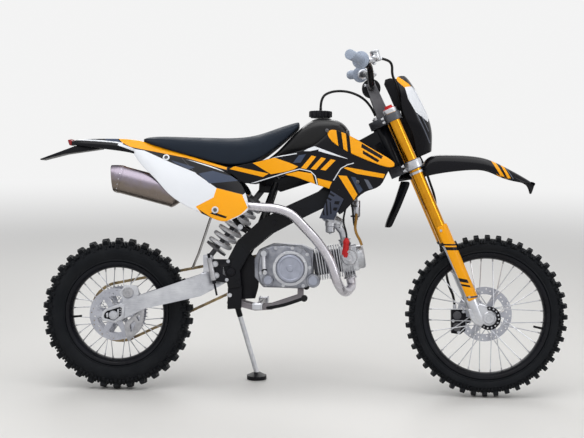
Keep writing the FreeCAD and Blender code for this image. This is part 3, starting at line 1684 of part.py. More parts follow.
def risers():
    """Two bar mounts on the upper clamp, cut to the bar."""
    parts = []
    for side in (-1, 1):
        y = side * d.riser_spread
        corners = [steer(riser_foot, d.bar_ahead - 22), steer(riser_foot, d.bar_ahead + 22)]
        corners.append(steer(riser_foot + d.bar_rise + 16, d.bar_ahead + 18))
        corners.append(steer(riser_foot + d.bar_rise + 16, d.bar_ahead - 14))
        parts.append(slab([(corner.x, corner.z) for corner in corners], y - 11, y + 11))
    cut = cross_rod(bar_centre, d.bar_radius + d.seat_gap, 200)
    return Part.makeCompound([part.cut(cut) for part in parts])


feature("bar_risers", risers())


def bar_points():
    """The bent bar from its right end to its left end."""
    right = [
        bar_centre + Vector(-75, -d.bar_half_width, 82),
        bar_centre + Vector(-8, -d.bar_half_width + 195, 68),
        bar_centre + Vector(0, -118, 0),
    ]
    return right + [mirrored(point) for point in reversed(right)]


feature("handlebar", bent_tube(bar_points(), d.bar_radius, 0.35))


def bar_pad():
    """The block of foam over the bar clamps, in two halves that leave the clamps free."""
    inner = d.riser_spread - 11 - d.seat_gap - 1
    pad = cross_rod(bar_centre, d.pad_radius, inner)
    return pad.cut(cross_rod(bar_centre, d.bar_radius + d.seat_gap, inner + 1))


feature("bar_pad", bar_pad())


def grips():
    """Flanged grips on the bar's ends."""
    parts = []
    ends = bar_points()[:2]
    way = ends[1] - ends[0]
    way.normalize()
    outer = ends[0] - way * 4
    inner = ends[0] + way * d.grip_length
    grip = rod(outer, inner, d.grip_radius).fuse(rod(inner - way * 5, inner, d.grip_radius + 13))
    bore = rod(ends[0] - way * 0.3, inner + way, d.bar_radius + d.seat_gap)
    grip = grip.cut(bore)
    return both_sides(grip)


feature("grips", grips())


def perch_root():
    """Where the right perch starts on the bar, the way along the bar, and the root of its lever."""
    ends = bar_points()[:2]
    way = ends[1] - ends[0]
    way.normalize()
    at = ends[0] + way * (d.grip_length + 8)
    return at, way, at + way * 13 + Vector(20, 0, 0)


def hand_levers():
    """Perches with brake and clutch levers, and the brake's reservoir on the right."""
    at, way, arm_root = perch_root()
    perch = rod(at, at + way * 26, 19)
    hole = rod(at - way * 10, at + way * 40, d.bar_radius + d.seat_gap)
    block = rod(at + way * 13 + Vector(14, 0, 2), arm_root + Vector(22, 0, 4), 10)
    lever = bent_tube([
        arm_root + Vector(18, 0, 4), arm_root + Vector(30, -40, 4), arm_root + Vector(16, -140, 0),
    ], 5.5, 0.4)
    shared = perch.multiFuse([block, lever]).cut(hole)
    reservoir = rod(arm_root + Vector(14, 8, 6), arm_root + Vector(2, 8, 46), 16)
    right = shared.fuse(reservoir)
    return Part.makeCompound([right, shared.mirror(Vector(0, 0, 0), Y_AXIS)])


feature("hand_levers", hand_levers())

MASK_STATIONS = (
    # height over the lower clamp; way ahead of the stem of the front and of the back edge; half width
    (378, 154, 128, 42),
    (344, 176, 136, 66),
    (274, 176, 116, 84),
    (196, 166, 110, 92),
    (128, 152, 104, 80),
    (84, 130, 90, 62),
    (28, 100, 58, 44),
)


def front_mask():
    """The number board: a curved shell, open behind."""
    rings = []
    bend = ((0, 1.0), (0.62, 0.86), (0.9, 0.45), (1.0, 0.0))
    for over_clamp, front, back, half in MASK_STATIONS:
        height = d.lower_clamp_height + over_clamp
        depth = front - back
        outer = [steer(height, back + depth * a, -half * b) for a, b in bend]
        outer += [steer(height, back + depth * a, half * b) for a, b in reversed(bend[:-1])]
        depth -= d.skin
        inner = [steer(height, back + depth * a, half * b - d.skin * (b > 0)) for a, b in bend]
        inner += [steer(height, back + depth * a, -half * b + d.skin * (b > 0)) for a, b in reversed(bend[:-1])]
        rings.append(outer + inner)
    clamp_top = d.lower_clamp_height + d.lower_clamp_depth / 2 + d.seat_gap
    stays = [rod(steer(clamp_top - 6, 50, side * 22), steer(clamp_top + 46, 106, side * 22), 5) for side in (-1, 1)]
    floor = Part.Face(polygon([steer(clamp_top, a, b) for a, b in ((0, -90), (200, -90), (200, 90), (0, 90))]))
    return lofted(rings).multiFuse(stays).cut(floor.extrude(up_fork * -40))


feature("front_mask", front_mask())

FRONT_FENDER_STATIONS = (
    # ahead of the lower clamp's underside; top and edge above it; half width
    (-8, -4, -22, 46),
    (48, 21, -12, 50),
    (74, 24, -8, 54),
    (88, 64, -2, 56),
    (111, 74, 4, 58),
    (222, 74, 23, 62),
    (297, 65, 24, 60),
    (354, 41, -2, 52),
    (426, 3, -21, 34),
    (471, -23, -29, 14),
)


FRONT_FLAP_STATIONS = (
    # back and front ahead of the lower clamp's underside, height above it; half width
    (-51, -31, -186, 44),
    (-22, 4, -106, 48),
    (4, 40, -14, 46),
)


def front_fender():
    under = steer(d.lower_clamp_height - d.lower_clamp_depth / 2)
    stations = [(under.x + x, under.z + top, under.z + edge, half) for x, top, edge, half in FRONT_FENDER_STATIONS]
    rings = []
    for back, front, height, half in FRONT_FLAP_STATIONS:
        x, z = under.x, under.z + height
        rings.append([
            on_plane(x + front, z, -half), on_plane(x + back, z, -half * 0.7),
            on_plane(x + back, z, half * 0.7), on_plane(x + front, z, half),
            on_plane(x + front, z, half - d.skin), on_plane(x + back + d.skin, z, half * 0.66),
            on_plane(x + back + d.skin, z, -half * 0.66), on_plane(x + front, z, d.skin - half),
        ])
    return channel(stations, d.skin).fuse(lofted(rings))


feature("front_fender", front_fender())


def front_caliper():
    """A caliper astride the front disc, carried by the left leg's casting."""
    disc_y = d.front_disc_offset
    gap = d.disc_thickness / 2 + d.pad_gap
    middle = front_axle + Vector(-96, 0, -26)
    outline = [(middle.x + x, middle.z + z) for x, z in (
        (-24, 40), (14, 44), (30, 26), (28, -34), (10, -48), (-22, -44),
    )]
    body = slab(outline, disc_y - gap - 8, disc_y + gap + 12)
    reach = disc_between(front_axle, d.front_disc_radius + d.running_gap, disc_y - gap, disc_y + gap)
    lug = slab([(middle.x + x, middle.z + z) for x, z in (
        (-4, 40), (50, 40), (50, -6), (24, -14), (0, 0),
    )], disc_y + gap + 11, d.leg_spread - 17 - 2 * d.seat_gap)
    return body.cut(reach).fuse(lug)


feature("front_caliper", front_caliper())


def hose_route():
    """The front brake hose: from its reservoir, behind the mask, down the left leg to the caliper."""
    _, _, arm_root = perch_root()
    start = arm_root + Vector(30.2, 8, 12)
    end = front_axle + Vector(-106, 72, 18)
    left = d.leg_spread
    return [
        start, start + Vector(30, 10, -3.5), start + Vector(50, 36, -15.5), steer(870, 102, -left - 83),
        steer(850, 104, -left - 40),
        steer(810, 104, -left + 25), steer(762, 98, -24), steer(716, 92, 20), steer(668, 82, left - 29),
        steer(610, 88, left - 3), steer(545, 96, left + 5), steer(480, 90, left + 5), steer(415, 86, left),
        steer(360, 62, left - 30), steer(305, 40, left - 35), steer(235, 32, left - 35), steer(170, 18, left - 32),
        steer(105, 4, left - 25), end + Vector(-2, 0, 40), end,
    ]


hose("brake_hose", hose_route())


def vent_route():
    """The tank's vent hose, from the cap to just above the steering stem."""
    foot = cap_foot + Vector(0, 0, 36 + d.seat_gap)
    end = steer(upper_clamp_low + d.upper_clamp_depth + 8 + d.running_gap + 4)
    return [
        foot, foot + Vector(0, 0, 38), foot + Vector(36, 0, 60), foot + Vector(92, 0, 62),
        foot + Vector(146, 0, 42), end + up_fork * 34, end,
    ]


hose("vent_hose", vent_route())


# %% Side stand

def stance():
    """Leans the bike onto its stand, sets both tyres on the ground and centres it over the origin."""
    lean = Rotation(Vector(1, 0, 0), -d.lean_angle)
    pitch = 0.0
    tyres = (rear_tyre.Shape, front_tyre.Shape)
    corners = [[vertex.Point for vertex in shape.Vertexes] for shape in tyres]
    for _ in range(6):
        turn = Rotation(Vector(0, 1, 0), pitch).multiply(lean)
        lows = [min((turn.multVec(point)).z for point in group) for group in corners]
        pitch += math.degrees((lows[1] - lows[0]) / d.wheelbase)
    return Placement(Vector(0, 0, -min(lows)), turn)


standing = stance()
to_upright = standing.inverse()


def side_stand():
    """A leg on a fork at the bolt, running out to a rubber foot that lies flat on the ground."""
    hinge = on_plane(d.stand_x, d.stand_z, d.stand_y)
    foot_ground = standing.multVec(on_plane(d.stand_x + d.stand_reach, 0, d.stand_y + d.stand_spread))
    foot_ground.z = 0
    foot = to_upright.multVec(foot_ground)
    up = to_upright.Rotation.multVec(Vector(0, 0, 1))
    ankle = foot + up * (d.foot_height - 4)
    way = ankle - hinge
    way.normalize()
    leg = rod(hinge + way * 21, ankle, d.stand_radius)
    hole = cross_rod(hinge, d.stand_bolt + d.seat_gap, 12)
    eye = cross_rod(hinge, 17, 9).fuse(rod(hinge + way * 15, hinge + way * 24, 6.5))
    pad = rod(foot, foot + up * 14, d.foot_radius)
    cone = Part.makeCone(d.foot_radius - 3, d.stand_radius + 2, d.foot_height - 14, foot + up * 14, up)
    return eye.multiFuse([leg, pad, cone]).cut(hole)


feature("side_stand", side_stand())


# %% Placing and writing

doc.recompute()
middle = Part.makeCompound([piece.Shape for piece in pieces])
middle.transformShape(standing.toMatrix())
box = middle.BoundBox
standing = Placement(Vector(-box.Center.x, -box.Center.y, 0), Rotation()).multiply(standing)
for piece in pieces:
    piece.Placement = standing.multiply(piece.Placement)
doc.recompute()
for name, point in (
    ("axle_right", rear_axle - Y_AXIS * 100), ("axle_left", rear_axle + Y_AXIS * 100),
    ("seat_face", on_plane(d.seat_x - 50, d.seat_z + 102)), ("seat_above", on_plane(d.seat_x - 48, d.seat_z + 202)),
    ("rear_axle", rear_axle), ("front_axle", front_axle), ("steer_head", steer(650)), ("steer_up", steer(750)),
    ("stand", on_plane(d.stand_x, d.stand_z, d.stand_y)), ("bar", bar_centre), ("seat", on_plane(d.seat_x, d.seat_z)),
):
    print(name, [round(value, 3) for value in standing.multVec(point)])

for obj in doc.Objects:
    if "Invalid" in obj.State or "Error" in obj.State:
        raise RuntimeError(f"{obj.Name} failed: {obj.State}")
for piece in pieces:
    if piece.Shape.isNull() or not piece.Shape.isValid():
        raise RuntimeError(f"{piece.Label} has no valid shape")
for piece in pieces:
    piece.Shape.exportStep(f"parts/{piece.Label}.step")
    print(piece.Label, len(piece.Shape.Solids), round(piece.Shape.Volume / 1000), "cm3")
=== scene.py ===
# %% [markdown]
# A small dirt bike, dressed round its packed construction. This lesson gives each of them its finish, and
# models again what a plain solid can't show: the knobs of the tyres, spokes, chain links, the curved
# plastics, the sewn seat, hoses, bolts and fins.

import json
import math

import bmesh
import bpy
from mathutils import Matrix, Vector

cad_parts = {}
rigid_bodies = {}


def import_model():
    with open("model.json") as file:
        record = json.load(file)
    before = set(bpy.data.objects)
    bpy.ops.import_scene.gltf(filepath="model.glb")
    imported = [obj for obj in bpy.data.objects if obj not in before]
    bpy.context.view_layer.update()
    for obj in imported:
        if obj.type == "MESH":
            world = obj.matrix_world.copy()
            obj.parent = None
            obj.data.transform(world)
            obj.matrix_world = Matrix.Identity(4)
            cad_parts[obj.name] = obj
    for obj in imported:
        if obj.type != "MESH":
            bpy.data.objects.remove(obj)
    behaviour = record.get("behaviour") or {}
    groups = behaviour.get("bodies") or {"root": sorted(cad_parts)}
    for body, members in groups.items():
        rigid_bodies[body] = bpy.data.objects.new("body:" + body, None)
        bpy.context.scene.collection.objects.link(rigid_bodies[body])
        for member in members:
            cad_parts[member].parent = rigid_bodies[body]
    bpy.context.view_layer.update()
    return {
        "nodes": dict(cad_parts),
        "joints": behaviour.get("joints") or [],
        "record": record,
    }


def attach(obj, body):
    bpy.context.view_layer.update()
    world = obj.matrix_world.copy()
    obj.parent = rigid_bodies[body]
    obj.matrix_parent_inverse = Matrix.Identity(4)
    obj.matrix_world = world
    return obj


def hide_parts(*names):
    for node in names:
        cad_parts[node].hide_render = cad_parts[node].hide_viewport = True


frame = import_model()
nodes = frame["nodes"]
scene = bpy.context.scene

# %% [markdown]
# The bike leans on its stand, so nothing on it is square to the world. It is easiest to model each piece on
# an upright bike, in millimetres from the ground under the rear axle, and to let one matrix lean the mesh.
# The two wheel joints give that matrix: their axles, and the way across the bike.

# %% The upright bike and the matrix that leans it
WHEELBASE = 1313
FRONT_RADIUS = 287
REAR_RADIUS = 270

joints = {joint["name"]: joint for joint in frame["joints"]}
rear_axle = Vector(joints["rear_wheel_turn"]["pos_m"])
front_axle = Vector(joints["front_wheel_turn"]["pos_m"])
to_left = Vector(joints["rear_wheel_turn"]["axis"]).normalized()
nose_up = math.atan2(FRONT_RADIUS - REAR_RADIUS, WHEELBASE)
ahead = Matrix.Rotation(nose_up, 3, to_left) @ (front_axle - rear_axle).normalized()
upright = ahead.cross(to_left)

stance = Matrix((ahead, to_left, upright)).transposed().to_4x4()
stance.translation = rear_axle - upright * (REAR_RADIUS / 1000)
on_bike = stance @ Matrix.Scale(0.001, 4)
lean = stance.to_euler()
print("lean", round(math.degrees(lean.x), 2), "degrees")

REAR_AXLE = Vector((0, 0, REAR_RADIUS))
FRONT_AXLE = Vector((WHEELBASE, 0, FRONT_RADIUS))
RAKE = math.radians(24.1)
UP_FORK = Vector((-math.sin(RAKE), 0, math.cos(RAKE)))
AHEAD_FORK = Vector((math.cos(RAKE), 0, math.sin(RAKE)))
FORK_AHEAD = 50
AXLE_LEAD = 32
STEER_FOOT = FRONT_AXLE - Vector(((FORK_AHEAD + AXLE_LEAD) / math.cos(RAKE), 0, 0))


def steer(height, forward=0, side=0):
    """A point along the steering axis, ahead of it, and to the left."""
    return STEER_FOOT + UP_FORK * height + AHEAD_FORK * forward + Vector((0, side, 0))


# %% [markdown]
# The photograph was taken from the right side with a longish lens. The camera's place, turn and focal length
# were worked out from the two wheels, the seat and the bar's ends, on the ground line under the bike.

# %% Camera
PICTURE_WIDTH = 584
FOCAL_PIXELS = 1428
CAMERA_PLACE = Vector((849, -5000, 1180))
CAMERA_YAW, CAMERA_PITCH, CAMERA_ROLL = (math.radians(angle) for angle in (2.61, -6.37, -0.70))

ground_line = on_bike @ Vector((0, 0, 0))
turn = (
    Matrix.Rotation(CAMERA_YAW, 3, "Z") @ Matrix.Rotation(CAMERA_PITCH, 3, "X")
    @ Matrix.Rotation(CAMERA_ROLL, 3, "Y")
)
camera_data = bpy.data.cameras.new("camera")
camera = bpy.data.objects.new("camera", camera_data)
scene.collection.objects.link(camera)
scene.camera = camera
camera_data.sensor_fit = "HORIZONTAL"
camera_data.sensor_width = 36
camera_data.lens = 36 * FOCAL_PIXELS / PICTURE_WIDTH
camera.matrix_world = (
    Matrix.Translation(ground_line + CAMERA_PLACE / 1000)
    @ (turn @ Matrix.Rotation(math.radians(90), 3, "X")).to_4x4()
)
print("lens", round(camera_data.lens, 1), "mm")

# %% [markdown]
# The light is a plain studio: a wide soft panel overhead, one on the camera's side, high enough that the
# upright sides don't mirror it, a narrow one ahead of the bike, one on its far side, and a pale world. Rays
# from the camera, and those that metal or gloss throws back, see the world nearly white, so the floor meets
# it without a hard line.

# %% Light, floor and view
scene.view_settings.view_transform = "Standard"

NEAR_WHITE = (0.90, 0.90, 0.90, 1)

world = bpy.data.worlds.new("studio")
scene.world = world
world.use_nodes = True
studio = world.node_tree
sky = studio.nodes["Background"]
sky.inputs["Color"].default_value = (0.86, 0.87, 0.88, 1)
sky.inputs["Strength"].default_value = 0.36
backdrop = studio.nodes.new("ShaderNodeBackground")
backdrop.inputs["Color"].default_value = NEAR_WHITE
ray = studio.nodes.new("ShaderNodeLightPath")
seen = ray.outputs["Is Camera Ray"]
for kind in ("Is Glossy Ray", "Is Transmission Ray"):
    either = studio.nodes.new("ShaderNodeMath")
    either.operation = "MAXIMUM"
    studio.links.new(seen, either.inputs[0])
    studio.links.new(ray.outputs[kind], either.inputs[1])
    seen = either.outputs["Value"]
blend = studio.nodes.new("ShaderNodeMixShader")
studio.links.new(seen, blend.inputs["Fac"])
studio.links.new(sky.outputs["Background"], blend.inputs[1])
studio.links.new(backdrop.outputs["Background"], blend.inputs[2])
studio.links.new(blend.outputs["Shader"], studio.nodes["World Output"].inputs["Surface"])


def soft_panel(name, place, aim, width, height, watts, mirrored=True):
    """A rectangular area lamp that looks at a point, in metres. Gloss may or may not mirror it."""
    data = bpy.data.lights.new(name, "AREA")
    data.shape = "RECTANGLE"
    data.size = width
    data.size_y = height
    data.energy = watts
    lamp = bpy.data.objects.new(name, data)
    scene.collection.objects.link(lamp)
    lamp.location = place
    lamp.visible_glossy = mirrored
    lamp.rotation_euler = (Vector(aim) - Vector(place)).to_track_quat("-Z", "Y").to_euler()


soft_panel("overhead panel", (0.2, -0.4, 3.2), (0, 0, 0.4), 4.5, 2.6, 76)
soft_panel("camera side panel", (-0.8, -3.4, 3.0), (0, 0, 0.5), 3.4, 1.8, 46, False)
soft_panel("front panel", (3.6, -1.7, 1.9), (0.6, 0, 0.8), 0.6, 2.0, 18)
soft_panel("far side panel", (-0.6, 3.4, 2.4), (0, 0, 0.5), 3.0, 1.4, 36)


def material_of(name, colour, roughness, metallic=0.0, **sockets):
    """A Principled material whose plain numbers sit on the shader's own sockets."""
    material = bpy.data.materials.new(name)
    material.use_nodes = True
    shader = material.node_tree.nodes["Principled BSDF"]
    shader.inputs["Base Color"].default_value = (*colour, 1)
    shader.inputs["Roughness"].default_value = roughness
    shader.inputs["Metallic"].default_value = metallic
    for socket, value in sockets.items():
        shader.inputs[socket.replace("_", " ")].default_value = value
    return material


def node(material, kind, **inputs):
    """A new shader node. Inputs are numbers, or sockets to link to."""
    made = material.node_tree.nodes.new("ShaderNode" + kind)
    for name, value in inputs.items():
        socket = made.inputs[name.replace("_", " ")]
        if isinstance(value, bpy.types.NodeSocket):
            material.node_tree.links.new(value, socket)
        else:
            socket.default_value = value
    return made


def feed(material, value, socket_name):
    """Links a socket into the material's Principled shader."""
    shader = material.node_tree.nodes["Principled BSDF"]
    material.node_tree.links.new(value, shader.inputs[socket_name])


floor_grey = material_of("pale floor", (0.72, 0.71, 0.69), 0.6)
floor_tree = floor_grey.node_tree
floor_place = node(floor_grey, "TexCoord").outputs["Object"]
floor_far = node(floor_grey, "VectorMath", Vector=floor_place)
floor_far.operation = "LENGTH"
floor_share = node(floor_grey, "MapRange", Value=floor_far.outputs["Value"], From_Min=1.4, From_Max=9)
floor_share.interpolation_type = "SMOOTHSTEP"
floor_glow = node(floor_grey, "Emission", Color=NEAR_WHITE, Strength=1)
floor_blend = node(floor_grey, "MixShader")
for socket, value in enumerate((
    floor_share.outputs["Result"], floor_tree.nodes["Principled BSDF"].outputs["BSDF"],
    floor_glow.outputs["Emission"],
)):
    floor_tree.links.new(value, floor_blend.inputs[socket])
floor_tree.links.new(floor_blend.outputs["Shader"], floor_tree.nodes["Material Output"].inputs["Surface"])
floor_mesh = bpy.data.meshes.new("floor")
floor_bm = bmesh.new()
bmesh.ops.create_grid(floor_bm, x_segments=1, y_segments=1, size=30)
floor_bm.to_mesh(floor_mesh)
floor_bm.free()
floor_mesh.materials.append(floor_grey)
floor = bpy.data.objects.new("floor", floor_mesh)
scene.collection.objects.link(floor)

# %% [markdown]
# Every finish is made of nodes that read Object coordinates. A Mapping node turns them back to the upright
# bike, in millimetres, so that brushing follows a part and stripes can be drawn in a side view of the bike.

# %% Shared nodes for the finishes

def bike_place(material, centre=(0, 0, 0), stretch=(1, 1, 1)):
    """Object coordinates as millimetres on the upright bike, from a centre, stretched for a pattern."""
    coordinates = node(material, "TexCoord").outputs["Object"]
    to_bike = node(material, "Mapping", Vector=coordinates)
    to_bike.vector_type = "TEXTURE"
    to_bike.inputs["Location"].default_value = on_bike @ Vector(centre)
    to_bike.inputs["Rotation"].default_value = lean
    to_bike.inputs["Scale"].default_value = (0.001, 0.001, 0.001)
    if stretch == (1, 1, 1):
        return to_bike.outputs["Vector"]
    return node(material, "Mapping", Vector=to_bike.outputs["Vector"], Scale=stretch).outputs["Vector"]


def noise(material, place, size, detail=3, roughness=0.6):
    """Noise with features about so many millimetres wide."""
    made = node(material, "TexNoise", Vector=place, Scale=1 / size, Detail=detail, Roughness=roughness)
    return made.outputs["Fac"]


def span(material, value, low, high, from_low=0.0, from_high=1.0):
    """Maps a value from one range to another."""
    made = node(
        material, "MapRange", Value=value, From_Min=from_low, From_Max=from_high, To_Min=low, To_Max=high,
    )
    return made.outputs["Result"]


def colour_between(material, share, first, second, blend="MIX"):
    """Mixes two colours by a share. Each is a colour or a socket."""
    first, second = (
        value if isinstance(value, bpy.types.NodeSocket) else (*value, 1) for value in (first, second)
    )
    made = node(material, "MixRGB", Fac=share, Color1=first, Color2=second)
    made.blend_type = blend
    return made.outputs["Color"]


def bump(material, height, depth, strength=1.0):
    """Raises the surface by a height from 0 to 1, so many millimetres deep."""
    made = node(material, "Bump", Height=height, Strength=strength, Distance=depth / 1000)
    feed(material, made.outputs["Normal"], "Normal")


def worn(material, colour, second, size, low, high):
    """Drifts the colour and the roughness in soft patches."""
    patches = noise(material, bike_place(material), size)
    share = span(material, patches, 0, 1, 0.35, 0.7)
    feed(material, colour_between(material, share, colour, second), "Base Color")
    feed(material, span(material, patches, low, high, 0.3, 0.7), "Roughness")


# %% [markdown]
# Rubber, plastic, paint and cast metal drift softly in patches and have a fine grain. Alloy and steel are
# brushed along their own way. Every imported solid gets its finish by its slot, so none is left without one.

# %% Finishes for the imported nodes
YELLOW = (0.90, 0.37, 0.008)
WHITE = (0.74, 0.76, 0.80)


def rubber_finish():
    made = material_of("tyre rubber", (0.004, 0.005, 0.007), 0.55, Specular_IOR_Level=0.15)
    worn(made, (0.003, 0.004, 0.006), (0.009, 0.010, 0.012), 60, 0.42, 0.62)
    bump(made, noise(made, bike_place(made), 1.2, 2), 0.25, 0.5)
    return made


def mottled(name, colour, second, roughness, metallic, sheen, patch, softest, roughest, grain):
    """Drifts in patches so many millimetres wide. The grain is its width, detail, depth and strength."""
    made = material_of(name, colour, roughness, metallic, Specular_IOR_Level=sheen)
    worn(made, colour, second, patch, roughness * softest, roughness * roughest)
    size, detail, depth, strength = grain
    bump(made, noise(made, bike_place(made), size, detail), depth, strength)
    return made


def gloss_finish(name, colour, second, roughness=0.16, sheen=0.4):
    """Moulded gloss plastic with a faint drift of colour and a little orange peel."""
    return mottled(name, colour, second, roughness, 0, sheen, 130, 0.7, 1.6, (5, 1, 0.04, 0.4))


def satin_finish(name, colour, second, roughness=0.45, sheen=0.35):
    """Moulded plastic or paint with a fine grain."""
    return mottled(name, colour, second, roughness, 0, sheen, 70, 0.8, 1.25, (0.9, 2, 0.06, 0.6))


def cast_finish(name, colour, second, roughness=0.42, depth=0.12):
    """Cast aluminium: a sandy surface with soft darker patches."""
    return mottled(name, colour, second, roughness, 0.9, 0.5, 28, 0.8, 1.35, (0.8, 3, depth, 0.6))


def brushed_finish(name, colour, second, stretch, roughness=0.3, centre=(0, 0, 0)):
    """Metal brushed along the way in which its pattern is stretched."""
    made = material_of(name, colour, roughness, 1.0)
    lines = noise(made, bike_place(made, centre, stretch), 1.6, 4, 0.7)
    patches = noise(made, bike_place(made), 60, 2)
    blend = node(made, "Math", Value=lines)
    blend.operation = "MULTIPLY_ADD"
    blend.inputs[1].default_value = 0.9
    made.node_tree.links.new(patches, blend.inputs[2])
    share = span(made, blend.outputs["Value"], 0, 1, 0.7, 1.2)
    feed(made, colour_between(made, share, colour, second), "Base Color")
    feed(made, span(made, lines, roughness * 0.85, roughness * 1.3, 0.3, 0.7), "Roughness")
    bump(made, lines, 0.012, 0.3)
    return made


def silencer_with_painted_shade():
    """Brushed steel with a heat tint: purple above the can's middle line, and below it a darker brown that is
    painted shade.
    """
    made = brushed_finish("steel with heat tint and painted shade", (0.5, 0.45, 0.5), (0.4, 0.35, 0.4), (1, 0.04, 0.04), 0.3)
    place = bike_place(made, (244, 0, 692))
    height = node(made, "VectorMath", Vector=place)
    height.operation = "DOT_PRODUCT"
    height.inputs[1].default_value = (0.243, 0, 0.97)
    drift = span(made, noise(made, bike_place(made), 45), -14, 14, 0.3, 0.7)
    total = node(made, "Math", Value=height.outputs["Value"])
    total.operation = "ADD"
    made.node_tree.links.new(drift, total.inputs[1])
    share = span(made, total.outputs["Value"], 0, 1, -18, 22)
    shader = made.node_tree.nodes["Principled BSDF"]
    metal = shader.inputs["Base Color"].links[0].from_socket
    # painted shade: the can's lower half gets a darker brown than its purple upper half, with a wavering border
    tint = colour_between(made, share, (0.29, 0.25, 0.21), (0.33, 0.30, 0.35))
    feed(made, colour_between(made, 0.45, tint, metal, "MULTIPLY"), "Base Color")
    return made


FINISHES = {
    "tyre": rubber_finish(),
    "rim": gloss_finish("black rim", (0.006, 0.006, 0.008), (0.009, 0.010, 0.014), 0.26, 0.15),
    "hub": cast_finish("hub alloy", (0.50, 0.50, 0.52), (0.34, 0.34, 0.36)),
    "disc": brushed_finish("disc steel", (0.52, 0.53, 0.58), (0.36, 0.37, 0.42), (1, 1, 1), 0.28),
    "chain": cast_finish("oiled chain", (0.36, 0.27, 0.14), (0.16, 0.12, 0.08), 0.38),
    "frame_black": gloss_finish("frame paint", (0.006, 0.006, 0.007), (0.008, 0.009, 0.012), 0.22, 0.14),
    "grey_metal": satin_finish("grey paint", (0.13, 0.13, 0.14), (0.08, 0.08, 0.09), 0.4),
    "engine_grey": cast_finish("painted case", (0.36, 0.37, 0.41), (0.22, 0.23, 0.27), 0.4, 0.06),
    "fins": cast_finish("fin alloy", (0.13, 0.13, 0.14), (0.06, 0.06, 0.07), 0.5),
    "bright": brushed_finish("bright alloy", (0.66, 0.67, 0.70), (0.44, 0.45, 0.49), (0.04, 1, 1), 0.3),
    "stainless": cast_finish("stainless", (0.60, 0.59, 0.63), (0.50, 0.48, 0.52), 0.26, 0.004),
    "spring": gloss_finish("spring lacquer", (0.84, 0.85, 0.89), (0.78, 0.79, 0.84), 0.3),
    "gold": brushed_finish("gold anodising", (0.72, 0.33, 0.022), (0.56, 0.23, 0.012), (1, 1, 0.05), 0.17),
    "black_plastic": gloss_finish("black plastic", (0.003, 0.003, 0.004), (0.005, 0.006, 0.009), 0.16, 0.14),
    "black_matt": satin_finish("black moulding", (0.005, 0.005, 0.007), (0.009, 0.009, 0.012), 0.36, 0.15),
    "seat_cover": satin_finish("seat cover", (0.010, 0.015, 0.024), (0.014, 0.020, 0.031), 0.6, 0.15),
    "yellow": gloss_finish("yellow plastic", YELLOW, (0.86, 0.33, 0.006), 0.2),
    "white": gloss_finish("white plastic", WHITE, (0.68, 0.70, 0.75), 0.22),
    "red_lamp": gloss_finish("red lens", (0.30, 0.012, 0.014), (0.20, 0.008, 0.010), 0.12),
    "grip": satin_finish("grip rubber", (0.34, 0.39, 0.48), (0.26, 0.30, 0.38), 0.6),
    "rubber": satin_finish("hose rubber", (0.006, 0.006, 0.007), (0.011, 0.011, 0.012), 0.5, 0.2),
    "foam": satin_finish("pad foam", (0.008, 0.008, 0.009), (0.011, 0.011, 0.013), 0.7, 0.15),
    "red_cap": gloss_finish("red cap", (0.62, 0.012, 0.014), (0.50, 0.010, 0.012), 0.3),
    "head_alloy": cast_finish("head alloy", (0.64, 0.65, 0.68), (0.36, 0.37, 0.40), 0.4, 0.1),
    "cap_alloy": cast_finish("cap paint", (0.40, 0.42, 0.50), (0.34, 0.36, 0.43), 0.42, 0.03),
    "case_dark": cast_finish("dark case", (0.11, 0.115, 0.13), (0.07, 0.072, 0.085), 0.42, 0.06),
    "rail_grey": satin_finish("rail paint", (0.26, 0.24, 0.26), (0.20, 0.185, 0.20), 0.35),
    "flap_brown": satin_finish("brown rubber", (0.030, 0.018, 0.014), (0.045, 0.028, 0.020), 0.3, 0.5),
    "silencer": silencer_with_painted_shade(),
    "amber_hose": gloss_finish("amber hose", (0.42, 0.22, 0.04), (0.32, 0.16, 0.03), 0.2),
    "tank_black": satin_finish("tank black", (0.005, 0.005, 0.006), (0.010, 0.010, 0.011), 0.32, 0.3),
}

slots = {item["node"]: item["material_slot"] for item in frame["record"]["subparts"]}
for name, item in nodes.items():
    item.data.materials.clear()
    item.data.materials.append(FINISHES[slots[name]])
print("finishes:", len(FINISHES))

# %% [markdown]
# The same few modelling steps make most of the pieces: a turned shape is a spun outline, a plate is a filled
# outline pushed across the bike, a skin is a row of bridged cross-sections, and a pipe is a bevelled curve.
# They all work on the upright bike, and finish_piece leans the result.

# %% Modelling steps
SHARP = math.radians(32)


def finish_piece(bm, name, body, finish, *stands_for, slot=None, angle=SHARP):
    """Leans a mesh, or a list of them, onto the bike and makes it a piece that rides on a body."""
    if isinstance(bm, list):
        bm = joined(*bm)
    bmesh.ops.transform(bm, matrix=on_bike, verts=bm.verts)
    mesh = bpy.data.meshes.new(name)
    bm.to_mesh(mesh)
    bm.free()
    mesh.materials.append(FINISHES[finish])
    mesh.shade_smooth()
    mesh.set_sharp_from_angle(angle=angle)
    piece = bpy.data.objects.new(name, mesh)
    scene.collection.objects.link(piece)
    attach(piece, body)
    if stands_for:
        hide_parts(*stands_for)
    return piece


def moved(bm, matrix):
    bmesh.ops.transform(bm, matrix=matrix, verts=bm.verts)
    return bm


def joined(*parts):
    """Puts several meshes into one."""
    whole = bmesh.new()
    for part in parts:
        mesh = bpy.data.meshes.new("part")
        part.to_mesh(mesh)
        part.free()
        whole.from_mesh(mesh)
        bpy.data.meshes.remove(mesh)
    return whole


def copies(bm, matrices):
    """The same mesh at several places, as one mesh."""
    mesh = bpy.data.meshes.new("copy")
    bm.to_mesh(mesh)
    bm.free()
    whole = bmesh.new()
    for matrix in matrices:
        copy = mesh.copy()
        copy.transform(matrix)
        if matrix.determinant() < 0:
            copy.flip_normals()
        whole.from_mesh(copy)
        bpy.data.meshes.remove(copy)
    bpy.data.meshes.remove(mesh)
    return whole


MIRROR = Matrix.Diagonal((1, -1, 1, 1))


def both_sides(bm):
    """A mesh and its mirror image on the other side of the bike."""
    return copies(bm, (Matrix.Identity(4), MIRROR))


